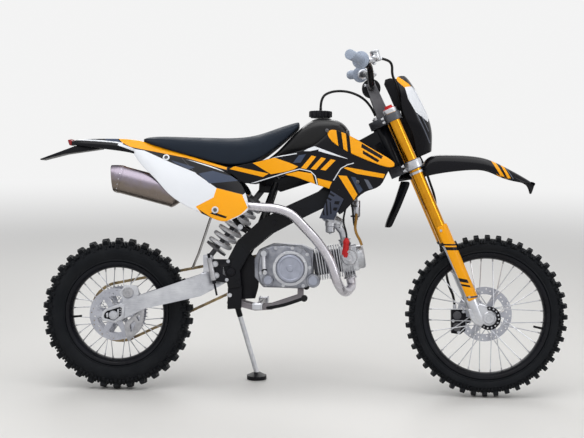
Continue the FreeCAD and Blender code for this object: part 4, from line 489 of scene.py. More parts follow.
def bevel(bm, edges, radius, segments, clamp=False):
    bmesh.ops.bevel(
        bm, geom=edges, offset=radius, offset_type="OFFSET", segments=segments, profile=0.5,
        affect="EDGES", clamp_overlap=clamp, material=-1,
    )
    return bm


def rounded(bm, radius, segments=2, angle=SHARP):
    """Bevels the sharp edges."""
    sharp = [edge for edge in bm.edges if edge.is_manifold and edge.calc_face_angle() > angle]
    return bevel(bm, sharp, radius, segments, True)


def spun(profile, steps=72):
    """Spins an outline of (radius, y) corners round the Y axis."""
    bm = bmesh.new()
    verts = [bm.verts.new((0, y, radius)) for radius, y in profile]
    edges = [bm.edges.new(pair) for pair in zip(verts, verts[1:] + verts[:1])]
    bmesh.ops.spin(
        bm, geom=verts + edges, cent=(0, 0, 0), axis=(0, 1, 0), angle=math.tau, steps=steps, use_merge=True,
    )
    bmesh.ops.remove_doubles(bm, verts=bm.verts, dist=0.001)
    bmesh.ops.recalc_face_normals(bm, faces=bm.faces)
    return bm


def along(start, way):
    """The matrix that puts a shape spun round Y at a place, pointing along a way."""
    return Matrix.Translation(Vector(start)) @ Vector(way).to_track_quat("Y", "Z").to_matrix().to_4x4()


def lathed(profile, steps, place, way):
    """A spun outline that stands on a place and points along a way."""
    bm = spun(profile, steps)
    return moved(bm, along(place, way))


def at(x, y, z):
    return Matrix.Translation(Vector((x, y, z)))


def add_box(bm, middle, size):
    bmesh.ops.create_cube(bm, size=1, matrix=at(*middle) @ Matrix.Diagonal((*size, 1)))


def round_axle(degrees, centre=(0, 0, 0)):
    """Turns round an axis across the bike."""
    return Matrix.Translation(Vector(centre)) @ Matrix.Rotation(math.radians(degrees), 4, "Y")


def on_circle(radius, degrees):
    """How far ahead of an axle and above it a point lies, so many degrees from the top."""
    angle = math.radians(degrees)
    return radius * math.sin(angle), radius * math.cos(angle)


def rod(start, end, radius, top=None, steps=20):
    """A round bar between two points, or a cone where its end has another radius."""
    start, end = Vector(start), Vector(end)
    bm = bmesh.new()
    bmesh.ops.create_cone(
        bm, cap_ends=True, segments=steps, radius1=radius, radius2=radius if top is None else top,
        depth=(end - start).length,
    )
    turn_to = (end - start).to_track_quat("Z", "Y").to_matrix().to_4x4()
    return moved(bm, Matrix.Translation((start + end) / 2) @ turn_to)


def plate(outline, y_from, y_to, edge=0.0, rings=(), windows=(), segments=2):
    """A flat plate across the bike: an outline in the side view, round rings and other windows."""
    bm = bmesh.new()
    for corners in (outline, *windows):
        verts = [bm.verts.new((x, y_from, z)) for x, z in corners]
        for pair in zip(verts, verts[1:] + verts[:1]):
            bm.edges.new(pair)
    for x, z, radius, steps in rings:
        bmesh.ops.create_circle(
            bm, segments=steps, radius=radius,
            matrix=at(x, y_from, z) @ Matrix.Rotation(math.radians(90), 4, "X"),
        )
    if rings or windows:
        bmesh.ops.triangle_fill(bm, use_beauty=True, edges=bm.edges)
    else:
        bm.faces.new(bm.verts)
    made = bmesh.ops.extrude_face_region(bm, geom=bm.faces[:])
    pushed = [item for item in made["geom"] if isinstance(item, bmesh.types.BMVert)]
    bmesh.ops.translate(bm, verts=pushed, vec=(0, y_to - y_from, 0))
    bmesh.ops.recalc_face_normals(bm, faces=bm.faces)
    return rounded(bm, edge, segments) if edge else bm


def round_curve(name, points, radius, roundness, resolution):
    """A curve with a round bevel on one open NURBS spline that is led by the points."""
    curve = bpy.data.curves.new(name, "CURVE")
    curve.dimensions = "3D"
    curve.bevel_depth = radius
    curve.bevel_resolution = roundness
    curve.resolution_u = resolution
    curve.use_fill_caps = True
    line = curve.splines.new("NURBS")
    line.points.add(len(points) - 1)
    for control, point in zip(line.points, points):
        control.co = (*point, 1)
    line.order_u = 3
    line.use_endpoint_u = True
    return curve


def pipe(points, radius, sides=10):
    """A round pipe along a smooth line that is led by the points."""
    curve = round_curve("pipe", points, radius, max(sides // 2 - 2, 0), 8)
    holder = bpy.data.objects.new("pipe", curve)
    mesh = bpy.data.meshes.new_from_object(holder)
    bm = bmesh.new()
    bm.from_mesh(mesh)
    bpy.data.meshes.remove(mesh)
    bpy.data.objects.remove(holder)
    bpy.data.curves.remove(curve)
    bmesh.ops.remove_doubles(bm, verts=bm.verts, dist=0.001)
    bmesh.ops.recalc_face_normals(bm, faces=bm.faces)
    return bm


def skin(sections, closed=False, thickness=0.0):
    """Bridges cross-sections, each a row of points. An open skin gets a thickness, a closed one ends."""
    bm = bmesh.new()
    rows = []
    for section in sections:
        verts = [bm.verts.new(point) for point in section]
        pairs = list(zip(verts, verts[1:]))
        if closed:
            pairs.append((verts[-1], verts[0]))
        rows.append([bm.edges.new(pair) for pair in pairs])
    for first, second in zip(rows, rows[1:]):
        bmesh.ops.bridge_loops(bm, edges=first + second)
    if closed:
        bmesh.ops.holes_fill(bm, edges=rows[0] + rows[-1], sides=0)
    bmesh.ops.recalc_face_normals(bm, faces=bm.faces)
    if thickness:
        bmesh.ops.solidify(bm, geom=bm.faces[:], thickness=thickness)
        bmesh.ops.recalc_face_normals(bm, faces=bm.faces)
    return bm


def mirrored(right):
    """A cross-section from its right-hand points, the same points following on the left."""
    return [*right, *((x, -y, z) for x, y, z in reversed(right))]


def moulded(bm, name, body, finish, *stands_for, slot=None, angle=60, levels=2):
    """A piece with a subdivision surface, sharp where its skin turns by more than so many degrees."""
    piece = finish_piece(bm, name, body, finish, *stands_for, slot=slot, angle=math.radians(angle))
    smoother = piece.modifiers.new("smooth", "SUBSURF")
    smoother.levels = levels
    smoother.render_levels = levels
    return piece


def bolt(place, way, across=9, height=5):
    """A hexagon head on a washer, standing on a place and pointing along a way."""
    start, way = Vector(place), Vector(way).normalized()
    corner = across / 2 / math.cos(math.pi / 6)
    head = rod(start + way * 1.2, start + way * (1.2 + height), corner, steps=6)
    washer = rod(start - way * 2, start + way * 1.4, across * 0.78, steps=16)
    return joined(rounded(head, 0.5, 1), washer)


told = {item.name for item in scene.objects}


def tell(step):
    """Prints the pieces that a step made."""
    made = [item.name for item in scene.objects if item.name not in told]
    told.update(made)
    print(step + ":", ", ".join(made))


def button(place, way, radius=6, height=3.5):
    """A round-headed screw with a socket."""
    return lathed((
        (0, height - 1.6), (radius * 0.42, height - 1.6), (radius * 0.42, height),
        (radius * 0.8, height * 0.8), (radius, 0.3), (radius, -2), (0, -2),
    ), 14, place, way)


# %% [markdown]
# Off-road tyres are moulded with separate knobs: a pair over the crown, one more beside each, doubled
# shoulder knobs that point out sideways, and low blocks on the side walls. The carcass is a spun section
# with a rib above the rim. Each knob is a small bevelled block with a tapered top, set round the tyre at its
# own pitch, so the outline reads as teeth.

# %% Tyres
LUG_HEIGHT = 13
FRONT_BEAD = 217
REAR_BEAD = 178
FRONT_RIM_WIDTH = 44
REAR_RIM_WIDTH = 54


def knob(length, width, height):
    """One knob, standing on the origin with its foot a little below it."""
    bm = bmesh.new()
    foot = 5
    add_box(bm, (0, 0, (height - foot) / 2), (length, width, height + foot))
    top = [vert for vert in bm.verts if vert.co.z > 0]
    bmesh.ops.scale(bm, vec=(0.86, 0.88, 1), verts=top)
    return rounded(bm, 1.3, 1)


def tread_row(block, centre, count, phase, radius, y, tilt):
    """Copies a knob round the tyre on both sides, tilted outwards by so many degrees."""
    places = []
    for side in (-1, 1):
        for index in range(count):
            turn_by = round_axle(360 * (index + phase) / count + 180, centre)
            outwards = Matrix.Rotation(math.radians(-side * tilt), 4, "X")
            places.append(turn_by @ at(0, side * y, radius) @ outwards)
    return copies(block, places)


def tyre(name, body, centre, outer, bead, width, rim_width, count, sizes):
    crown = outer + 1 - LUG_HEIGHT
    half = width / 2 - 2
    rise = crown - bead
    side = (
        (bead + 0.5, rim_width / 2), (bead + 7, rim_width / 2 + 3.6), (bead + 10, rim_width / 2 + 7.5),
        (bead + 13, rim_width / 2 + 8), (bead + 15, rim_width / 2 + 6.8), (bead + rise * 0.36, half - 2.5),
        (bead + rise * 0.5, half), (bead + rise * 0.64, half - 1), (crown - 20, half - 6),
        (crown - 11, half * 0.78), (crown - 5, half * 0.5), (crown - 1.5, half * 0.22),
    )
    carcass = spun([(r, -y) for r, y in side] + [(r, y) for r, y in reversed(side)], 96)
    moved(carcass, Matrix.Translation(centre))
    (centre_size, centre_y), (middle_size, middle_y, middle_tilt), (edge_size, edge_y, edge_tilt) = sizes
    split = edge_size[0] / 2 + 1.6
    double = joined(*(moved(knob(*edge_size, LUG_HEIGHT - 2), at(x, 0, 0)) for x in (split, -split)))
    low_radius, low_y = crown - 21, half - 6
    rows = [
        tread_row(knob(*centre_size, LUG_HEIGHT - 0.5), centre, count, 0, crown - 1, centre_y, 3),
        tread_row(knob(*middle_size, LUG_HEIGHT - 1), centre, count, 0, crown - 4.5, middle_y, middle_tilt),
        tread_row(double, centre, count, 0.5, crown - 15, edge_y, edge_tilt),
        tread_row(knob(edge_size[0] * 1.2, edge_size[1] * 0.7, 6), centre, count, 0, low_radius, low_y, 76),
    ]
    piece = finish_piece([carcass, *rows], name, body, "tyre", name.replace("_knobbly", ""))
    print(name, "faces:", len(piece.data.polygons))


tyre(
    "front_tyre_knobbly", "front_wheel", FRONT_AXLE, FRONT_RADIUS, FRONT_BEAD, 72, FRONT_RIM_WIDTH, 44,
    (((18, 13), 8), ((17, 13), 20.5, 30), ((7, 18), 24.5, 60)),
)
tyre(
    "rear_tyre_knobbly", "rear_wheel", REAR_AXLE, REAR_RADIUS, REAR_BEAD, 90, REAR_RIM_WIDTH, 34,
    (((23, 16), 10), ((21, 15), 25.5, 26), ((9, 21), 31, 54)),
)
tell("tyres")

# %% [markdown]
# The rims are rolled aluminium, painted black, with two lips that hold the tyre's beads. Round spokes run
# crossed from a turned hub to nipples in the rim's well, and a valve stem leaves the rim between two of them.

# %% Rims, hubs and spokes
RIM_WELL = 15.3


def rim(name, body, centre, bead, rim_width, node_name):
    half = rim_width / 2
    side = (
        (bead + 6.8, half + 5), (bead + 6.8, half + 8.4), (bead + 3, half + 8.2), (bead - 4, half + 4.6),
        (bead - 8, half + 1.5), (bead - 14.5, half * 0.42), (bead - 15.2, half * 0.2),
    )
    back = (
        (bead - 10.5, half * 0.2), (bead - 10, half * 0.36), (bead - 0.5, half * 0.56),
        (bead - 0.5, half + 0.3),
    )
    outline = [(r, y) for r, y in side] + [(r, -y) for r, y in reversed(side)]
    outline += [(r, -y) for r, y in reversed(back)] + [(r, y) for r, y in back]
    ring = moved(rounded(spun(outline, 96), 0.7, 1, math.radians(40)), Matrix.Translation(centre))
    finish_piece(ring, name, body, "rim", node_name)


rim("front_rim_rolled", "front_wheel", FRONT_AXLE, FRONT_BEAD, FRONT_RIM_WIDTH, "front_rim")
rim("rear_rim_rolled", "rear_wheel", REAR_AXLE, REAR_BEAD, REAR_RIM_WIDTH, "rear_rim")


def spoked_hub(name, body, centre, axle, flange, spread, rim_inside, valve_turn, count=32):
    """A turned hub, its spokes and nipples, and the valve, whose place is in degrees."""
    bore, nose = axle + 0.3, axle + 10.3
    side = (
        (bore, 68), (nose - 1.5, 68), (nose, 66.5), (nose, spread + 9), (nose + 5, spread + 5),
        (flange - 1, spread + 4), (flange, spread + 3), (flange, spread - 2), (flange - 1, spread - 3),
        (bore + 13, spread - 6), (bore + 8, spread - 11), (bore + 7, 6),
    )
    barrel = spun([(r, y) for r, y in side] + [(r, -y) for r, y in reversed(side)], 48)
    finish_piece(moved(barrel, Matrix.Translation(centre)), name, body, "hub", name.replace("_turned", ""))
    spokes, nipples = [], []
    for index in range(count):
        flank = 1 if index % 2 else -1
        lean_way = 1 if index % 4 < 2 else -1
        angle = math.tau * (index + 0.5) / count
        root = angle + lean_way * math.radians(62)
        y = flank * (spread + lean_way * 2.2)
        start = centre + Vector(((flange - 4) * math.sin(root), y, (flange - 4) * math.cos(root)))
        end = centre + Vector((rim_inside * math.sin(angle), flank * 5, rim_inside * math.cos(angle)))
        way = (end - start).normalized()
        spokes.append(rod(start, end - way * 6, 1.7, steps=8))
        spokes.append(rod(start + Vector((0, -2.5, 0)), start + Vector((0, 2.5, 0)), 3, steps=8))
        nipples.append(rod(end - way * 9, end, 2.4, 3, steps=8))
    finish_piece(spokes, name.replace("hub_turned", "spokes"), body, "bright")
    finish_piece(nipples, name.replace("hub_turned", "nipples"), body, "hub")
    valve_angle = math.radians(valve_turn)
    stem_way = Vector((math.sin(valve_angle), 0, math.cos(valve_angle)))
    foot = centre + stem_way * (rim_inside + 1)
    stem = [
        rod(foot - stem_way * 26, foot, 3.4, 4.6, 12),
        rod(foot - stem_way * 31, foot - stem_way * 22, 4, steps=12),
    ]
    finish_piece(stem, name.replace("hub_turned", "valve"), body, "rubber")


spoked_hub("front_hub_turned", "front_wheel", FRONT_AXLE, 10, 30, 34, FRONT_BEAD - RIM_WELL, 102)
spoked_hub("rear_hub_turned", "rear_wheel", REAR_AXLE, 8, 34, 35, REAR_BEAD - RIM_WELL, 264)
tell("rims, hubs and spokes")

# %% [markdown]
# A brake disc is a thin steel ring on arms. It is drilled to shed water and mud, so the plate is filled
# between its outline, its windows and rows of small rings. Button bolts fix it to the hub.

# %% Brake discs
DISC_HALF = 2


def brake_disc(name, body, centre, y, radius, inner):
    band, foot = radius - 26, inner + 14
    windows = []
    for turn_by in range(0, 360, 60):
        corners = [on_circle(r, degrees + turn_by) for r, degrees in (
            (foot, -13), (foot, 13), (band, 21), (band, 7), (band, -7), (band, -21),
        )]
        windows.append([(centre.x + x, centre.z + z) for x, z in corners])
    rings = [(centre.x, centre.z, radius, 96), (centre.x, centre.z, inner, 40)]
    for index in range(36):
        x, z = on_circle(radius - (7, 13, 19)[index % 3], index * 10 + 3)
        rings.append((centre.x + x, centre.z + z, 2.6, 8))
    disc = plate((), y - DISC_HALF, y + DISC_HALF, 0, rings, windows)
    finish_piece(disc, name, body, "disc", name.replace("_drilled", ""))
    outside = 1 if y > 0 else -1
    bolts = []
    for turn_by in range(30, 390, 60):
        x, z = on_circle(inner + 7, turn_by)
        bolts.append(button(centre + Vector((x, y + outside * DISC_HALF, z)), (0, outside, 0), 5, 3))
    finish_piece(bolts, name.replace("drilled", "bolts"), body, "bright")


brake_disc("front_disc_drilled", "front_wheel", FRONT_AXLE, 62, 98, 20.6)
brake_disc("rear_disc_drilled", "rear_wheel", REAR_AXLE, -64, 92, 18.6)
tell("brake discs")

# %% [markdown]
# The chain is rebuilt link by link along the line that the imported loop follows: a straight run to the gearbox
# sprocket, round it, and back. Outer plates sit over every second joint, with rollers and riveted pins.

# %% Chain and sprockets
CHAIN_LINE = 60
CHAIN_PITCH = 12.7
REAR_TEETH = 47
FRONT_TEETH = 15
DRIVE_SHAFT = Vector((502, 0, 442))
CHAIN_OUT = 10


def tooth_radius(teeth):
    return CHAIN_PITCH / (2 * math.sin(math.pi / teeth))


def chain_places():
    """A matrix for each joint of the chain, with its X along the chain and its Z outwards."""
    big, small = tooth_radius(REAR_TEETH) + CHAIN_OUT, tooth_radius(FRONT_TEETH) + CHAIN_OUT
    run = DRIVE_SHAFT - REAR_AXLE
    base = math.atan2(run.z, run.x)
    tilt = math.acos((big - small) / run.length)
    straight = math.sqrt(run.length ** 2 - (big - small) ** 2)
    total = 2 * straight + big * 2 * (math.pi - tilt) + small * 2 * tilt
    links = 2 * round(total / CHAIN_PITCH / 2)
    places = []
    for link in range(links):
        done = total * link / links
        if done < straight:
            way, centre, radius, slide = base + tilt, REAR_AXLE, big, done
        elif done < straight + small * 2 * tilt:
            way, centre, radius, slide = base + tilt - (done - straight) / small, DRIVE_SHAFT, small, 0
        elif done < 2 * straight + small * 2 * tilt:
            way, centre, radius, slide = base - tilt, DRIVE_SHAFT, small, done - straight - small * 2 * tilt
        else:
            way = base - tilt - (done - 2 * straight - small * 2 * tilt) / big
            centre, radius, slide = REAR_AXLE, big, 0
        turned = Matrix.Translation(centre) @ Matrix.Rotation(math.radians(90) - way, 4, "Y")
        places.append(turned @ at(slide, CHAIN_LINE, radius))
    return places, total / links


def chain_plate(length, y, wide):
    """One side plate of a link, a stadium that reaches from pin to pin."""
    bm = bmesh.new()
    add_box(bm, (length / 2, y, 0), (length + wide, 1.5, wide))
    across = [edge for edge in bm.edges if abs(edge.verts[0].co.y - edge.verts[1].co.y) > 1]
    return bevel(bm, across, wide * 0.46, 3)


places, link_length = chain_places()


def chain_link(plate_y, plate_wide, pin_y, pin_radius):
    """Two side plates with a pin or a roller at each end."""
    plates = [chain_plate(link_length, y, plate_wide) for y in (plate_y, -plate_y)]
    pins = [rod((x, -pin_y, 0), (x, pin_y, 0), pin_radius, steps=8) for x in (0, link_length)]
    return joined(*plates, *pins)


chain = [
    copies(chain_link(5.6, 10, 7.4, 2), places[0::2]), copies(chain_link(3.8, 9.4, 3.4, 4), places[1::2]),
]
finish_piece(chain, "drive_chain_links", "root", "chain", "drive_chain")
print("chain links:", len(places))


def toothed(teeth, tip, thickness):
    """A ring of teeth round the origin, each a tapered block."""
    bm = bmesh.new()
    wide = math.tau * tip / teeth * 0.5
    add_box(bm, (0, 0, tip - 4.5), (wide, thickness * 0.8, 9))
    bmesh.ops.scale(bm, vec=(0.42, 0.7, 1), verts=[vert for vert in bm.verts if vert.co.z > tip - 4])
    return copies(rounded(bm, 0.5, 1), [round_axle(360 * tooth / teeth) for tooth in range(teeth)])


def sprocket_plate(tip, bore, windows, thickness):
    near, far = bore + 12, tip - 20
    wide = 180 / windows * 0.62
    holes = [
        [on_circle(r, 360 * k / windows + degrees) for r, degrees in (
            (near, -wide), (near, wide), (far, wide), (far, 0), (far, -wide),
        )]
        for k in range(windows)
    ]
    rings = [(0, 0, tip - 5.5, 72), (0, 0, bore, 32)]
    return plate((), -thickness / 2, thickness / 2, 0, rings, holes)


rear_tip = tooth_radius(REAR_TEETH) + 2.5
rear_sprocket = joined(sprocket_plate(rear_tip, 18.6, 6, 6), toothed(REAR_TEETH, rear_tip, 6))
moved(rear_sprocket, at(0, CHAIN_LINE, REAR_RADIUS))
finish_piece(rear_sprocket, "rear_sprocket_toothed", "rear_wheel", "disc", "rear_sprocket")
bolts = []
for turn_by in range(30, 390, 60):
    x, z = on_circle(26, turn_by)
    bolts.append(bolt(REAR_AXLE + Vector((x, CHAIN_LINE + 3, z)), (0, 1, 0), 8, 4))
finish_piece(bolts, "rear_sprocket_bolts", "rear_wheel", "bright")

front_tip = tooth_radius(FRONT_TEETH) + CHAIN_OUT - 5.9
small_holes = [(*on_circle(22, 60 * k), 3, 10) for k in range(6)]
small_plate = plate((), -3, 3, 0.6, [(0, 0, front_tip - 5, 40), (0, 0, 16, 24), *small_holes])
shaft_profile = ((0, -13.5), (9, -13.5), (9, -4), (19, -4), (19, 4), (9, 4), (9, 8), (7.5, 9.5), (0, 9.5))
small_shaft = spun(shaft_profile, 32)
front_sprocket = joined(small_plate, small_shaft, toothed(FRONT_TEETH, front_tip, 6))
moved(front_sprocket, at(DRIVE_SHAFT.x, CHAIN_LINE, DRIVE_SHAFT.z))
finish_piece(front_sprocket, "front_sprocket_toothed", "root", "chain", "front_sprocket")
tell("chain and sprockets")

# %% [markdown]
# The swingarm's legs are tapered box sections of brushed aluminium, welded round a pivot tube. The packed
# solid has the right shape, so its sharp edges are rolled over and its doubles merged. The end plates,
# the chain adjusters and the axle's nut are added on top of it.

# %% Swingarm and rear axle

def packed(name):
    """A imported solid's mesh, brought upright in millimetres, with its facets merged."""
    bm = bmesh.new()
    bm.from_mesh(nodes[name].data)
    moved(bm, on_bike.inverted())
    bmesh.ops.remove_doubles(bm, verts=bm.verts, dist=0.02)
    bmesh.ops.dissolve_limit(bm, angle_limit=math.radians(0.6), verts=bm.verts, edges=bm.edges)
    return bm


def softened(name, body, finish, edge, segments=2, angle=SHARP, slot=None):
    """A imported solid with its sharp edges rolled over."""
    return finish_piece(
        rounded(packed(name), edge, segments, angle), name + "_soft", body, finish, name, slot=slot,
    )


softened("swingarm", "root", "bright", 3.5)
ARM_FACE = 103
ends, recesses, adjusters = [], [], []
AXLE_HALF = 120.3
turned = [rod((0, -AXLE_HALF, REAR_RADIUS), (0, AXLE_HALF, REAR_RADIUS), 7.6, steps=20)]
for side in (-1, 1):
    face = side * ARM_FACE
    washer = ((-24, 256), (-26, 274), (22, 292), (26, 272))
    turned.append(plate(washer, face + side * 0.3, face + side * 3.3, 0.4, segments=1))
    turned.append(rod((0, face + side * 3.3, REAR_RADIUS), (0, face + side * 5.2, REAR_RADIUS), 16, steps=32))
    nut = rod((0, face + side * 5, REAR_RADIUS), (0, face + side * 12.3, REAR_RADIUS), 15.6, steps=6)
    turned.append(rounded(nut, 0.8, 2))
    turned.append(rod((0, side * 78.7, REAR_RADIUS), (0, side * 68.3, REAR_RADIUS), 13, steps=28))
    ends.append(plate(
        ((-40, 250), (-42, 266), (-38, 282), (-28, 292), (28, 312), (40, 306), (38, 262), (8, 243)),
        face - side, face + side * 6.6, 1.6,
        windows=[((-31, 258), (-33, 268), (-30, 278), (-22, 284), (22, 299), (29, 296), (28, 270), (4, 252))],
        segments=3,
    ))
    recesses.append(plate(
        ((-33, 256), (-35, 268), (-31, 280), (-22, 286), (24, 301), (31, 298), (30, 268), (4, 250)),
        face - side, face + side * 4, 0.2,
    ))
    stop = ((14, 262), (14, 291), (19, 293), (19, 264))
    adjusters.append(plate(stop, face + side * 3, face + side * 6, 0.8))
    block_outline = ((-24, 262), (-26, 276), (-18, 279), (-18, 262))
    adjusters.append(plate(block_outline, face + side * 3, face + side * 6.4, 1))
    for x, z in ((24, 291), (24, 283), (24, 275)):
        adjusters.append(button((x, face + side * 4, z), (0, side, 0), 2.6, 2))
finish_piece(turned, "rear_axle_turned", "root", "bright", "rear_axle")
finish_piece(ends, "swingarm_end_plates", "root", "bright")
finish_piece(recesses, "swingarm_recesses", "root", "black_matt")
finish_piece(adjusters, "chain_adjusters", "root", "bright")
tell("swingarm and rear axle")

# %% [markdown]
# The engine is a horizontal single. Its case halves are cast, so every edge is rounded and the surface is
# slightly sandy. The clutch cover carries a round cap with a bright ring of screws, the kick shaft's boss and
# two small caps. Each cover is a bevelled plate with spun bosses on it.

# %% Engine case and covers
CRANK = Vector((620, 0, 446))
CASE_HALF = 68

softened("engine_case", "root", "engine_grey", 5, 3)

cover_outline = [(CRANK.x + x, CRANK.z + z) for x, z in (
    (-106, 54), (-98, 68), (-64, 79), (-10, 80), (36, 76), (60, 58), (74, 40), (76, -6), (74, -50), (58, -66),
    (36, -68), (-30, -68), (-90, -66), (-106, -52), (-112, -30), (-113, 10),
)]
face_y = -CASE_HALF - 33.6


def boss(x, z, profile, y=face_y, steps=48, out=-1):
    """A spun boss on a cover: (radius, height) corners, at a place beside the crank."""
    outline = [(0, -8), *profile, (0, profile[-1][1])]
    return lathed(outline, steps, (CRANK.x + x, y, CRANK.z + z), (0, out, 0))


clutch_cover = joined(
    plate(cover_outline, -CASE_HALF, face_y, 8, segments=4),
    boss(0, 0, ((61, -8), (61, 7), (59.5, 9.5), (57, 11), (52, 11.5), (50, 10), (49.5, 9))),
    boss(-92, 52, ((17, -8), (15.5, 12), (14, 14), (14, 21), (13, 22))),
    boss(-78, -43, ((21, -8), (20, 6), (18.5, 8), (16, 8), (15, 6.6))),
    boss(80, -42, ((25, -8), (24, 3), (22.5, 5.5), (18, 6), (17, 4.4))),
    boss(30, 62, ((12, -8), (11, 3), (10, 4.5))),
)
finish_piece(clutch_cover, "clutch_cover_cast", "root", "engine_grey", "clutch_cover")
cap_profile = (
    (49.4, -4), (49.4, 17), (48, 20), (45, 22), (40, 22.4), (38, 20.6), (12, 20.2), (10, 22), (4, 22.2),
)
finish_piece(boss(0, 0, cap_profile), "clutch_cap", "root", "cap_alloy", slot="engine_grey")
screws = []
for k in range(8):
    x, z = on_circle(55, 45 * k + 22)
    screws.append(button((CRANK.x + x, face_y - 11, CRANK.z + z), (0, -1, 0), 4, 3.4))
screw_places = (
    (-96, 56), (-52, 70), (6, 71), (58, 50), (68, 4), (46, -60), (-24, -60), (-84, -58), (-104, -18),
)
for x, z in screw_places:
    screws.append(bolt((CRANK.x + x, face_y - 0.5, CRANK.z + z), (0, -1, 0), 8, 4))
plugs = [
    boss(x, z, ((r, h - 3), (r, h + 1), (r - 1.5, h + 2)), steps=32)
    for x, z, r, h in ((-78, -43, 14.5, 6.6), (80, -42, 16.5, 4.4))
]
finish_piece(plugs, "cover_plugs", "root", "cap_alloy", slot="engine_grey")
finish_piece(screws, "clutch_cover_screws", "root", "bright")
ring_profile = ((50.2, 0), (61.4, 0), (61.4, 1.2), (60.4, 2), (51, 2.6))
clutch_ring = lathed(ring_profile, 64, (CRANK.x, face_y - 9.6, CRANK.z), (0, -1, 0))
finish_piece(clutch_ring, "clutch_ring", "root", "bright")

left_outline = [(CRANK.x + x, CRANK.z + z) for x, z in (
    (-58, 66), (-30, 70), (40, 69), (60, 52), (70, 34), (70, -42), (56, -58), (36, -63), (-58, -58), (-60, 0),
)]
left_cover = joined(
    plate(left_outline, CASE_HALF, CASE_HALF + 30, 7, segments=4),
    boss(
        0, 0, ((58, -8), (58, 10), (55, 13.4), (42, 14), (41, 18), (38, 19.8), (14, 20), (12, 17.6)),
        CASE_HALF + 30, 48, 1,
    ),
)
finish_piece(left_cover, "generator_cover_cast", "root", "engine_grey", "generator_cover")
screws = [
    bolt((CRANK.x + x, CASE_HALF + 29.6, CRANK.z + z), (0, 1, 0), 8, 4)
    for x, z in ((-50, 60), (-10, 64), (48, 54), (62, 10), (60, -46), (20, -56), (-50, -52), (-55, 10))
]
finish_piece(screws, "generator_cover_screws", "root", "bright")
tell("engine case and covers")

# %% [markdown]
# The barrel lies nearly flat. Its fins are thin cast plates with rounded corners, one pitch apart, round a
# core. The head has its own fins, a cover with a round cap on each side, the inlet above and the port below.

# %% Barrel and head
TILT = math.radians(10)
BORE_WAY = Vector((math.cos(TILT), 0, math.sin(TILT)))
BORE_UP = Vector((-math.sin(TILT), 0, math.cos(TILT)))
BORE_ROOT = CRANK + Vector((78.3, 0, 12))
FIN_PITCH = 9
FIN_DEPTH = 118
FIN_COUNT = 10
FINS_END = FIN_COUNT * FIN_PITCH + 10
HEAD_START = FINS_END + 0.3
HALF = FIN_DEPTH / 2
BORE = Matrix((BORE_WAY, (0, 1, 0), BORE_UP)).transposed().to_4x4()
BORE.translation = BORE_ROOT


def block(start, end, low, high, half, corner, segments=2):
    """A block on the cylinder's axis, its long edges rounded."""
    bm = bmesh.new()
    add_box(bm, ((start + end) / 2, 0, (low + high) / 2), (end - start, 2 * half, high - low))
    edges = [edge for edge in bm.edges if abs(edge.verts[0].co.x - edge.verts[1].co.x) > 0.1]
    return moved(bevel(bm, edges, corner, segments), BORE)


barrel = joined(block(10, FINS_END, -HALF + 18, HALF - 18, 38, 12), block(0, 12, -42, 40, 44, 8))
finish_piece(barrel, "cylinder_barrel", "root", "fins", "cylinder")
fins = []
for index in range(FIN_COUNT):
    start = 14 + index * FIN_PITCH
    fins.append(block(start, start + 2.8, -HALF, HALF, 56, 14, 4))
finish_piece(fins, "cylinder_fins", "root", "bright", angle=math.radians(40))

head = [
    block(HEAD_START, HEAD_START + 58, -HALF + 14, HALF - 10, 50, 9, 3),
    moved(
        rounded(spun(((0, 0), (42, 0), (42, 22), (38, 28), (30, 30), (0, 30)), 48), 0.8, 1),
        BORE @ along((HEAD_START + 54, 0, 0), (1, 0, 0)),
    ),
]
for index in range(5):
    start = HEAD_START + 4 + index * FIN_PITCH
    head.append(block(start, start + 3, -HALF + 2, HALF, 58, 10, 3))
for side in (-1, 1):
    head.append(moved(
        spun(((0, -10), (28, -10), (28, 5), (25, 9), (12, 9.6), (10, 8), (0, 8)), 40),
        BORE @ along((HEAD_START + 30, side * 58, 6), (0, side, 0)),
    ))
inlet = Vector((HEAD_START + 22, 0, HALF - 12))
head.append(moved(rod(inlet, inlet + Vector((0, 0, 20)), 19, steps=28), BORE))
port = BORE_ROOT + BORE_WAY * (HEAD_START + 22) - BORE_UP * (HALF + 6)
head.append(rod(port + BORE_UP * 30, port + BORE_UP * 0.3, 20.5, steps=28))
finish_piece(head, "cylinder_head_cast", "root", "head_alloy", "cylinder_head", slot="bright")

studs = []
for y in (-40, 40):
    for z in (-36, 36):
        foot = BORE @ Vector((HEAD_START + 52, y, z))
        studs.append(bolt(foot, BORE_WAY, 10, 6))
for side in (-1, 1):
    for z in (-14, 26):
        studs.append(bolt(BORE @ Vector((HEAD_START + 30, side * 67, z)), (0, side, 0), 8, 4))
    studs.append(bolt(port + Vector((0, side * 27, 4)), -BORE_UP, 9, 6))
finish_piece(studs, "head_studs", "root", "hub")
flange = rounded(rod(port + BORE_UP, port - BORE_UP * 5, 24, steps=32), 1.2, 1)
finish_piece(flange, "exhaust_flange", "root", "stainless")
tell("barrel and head")
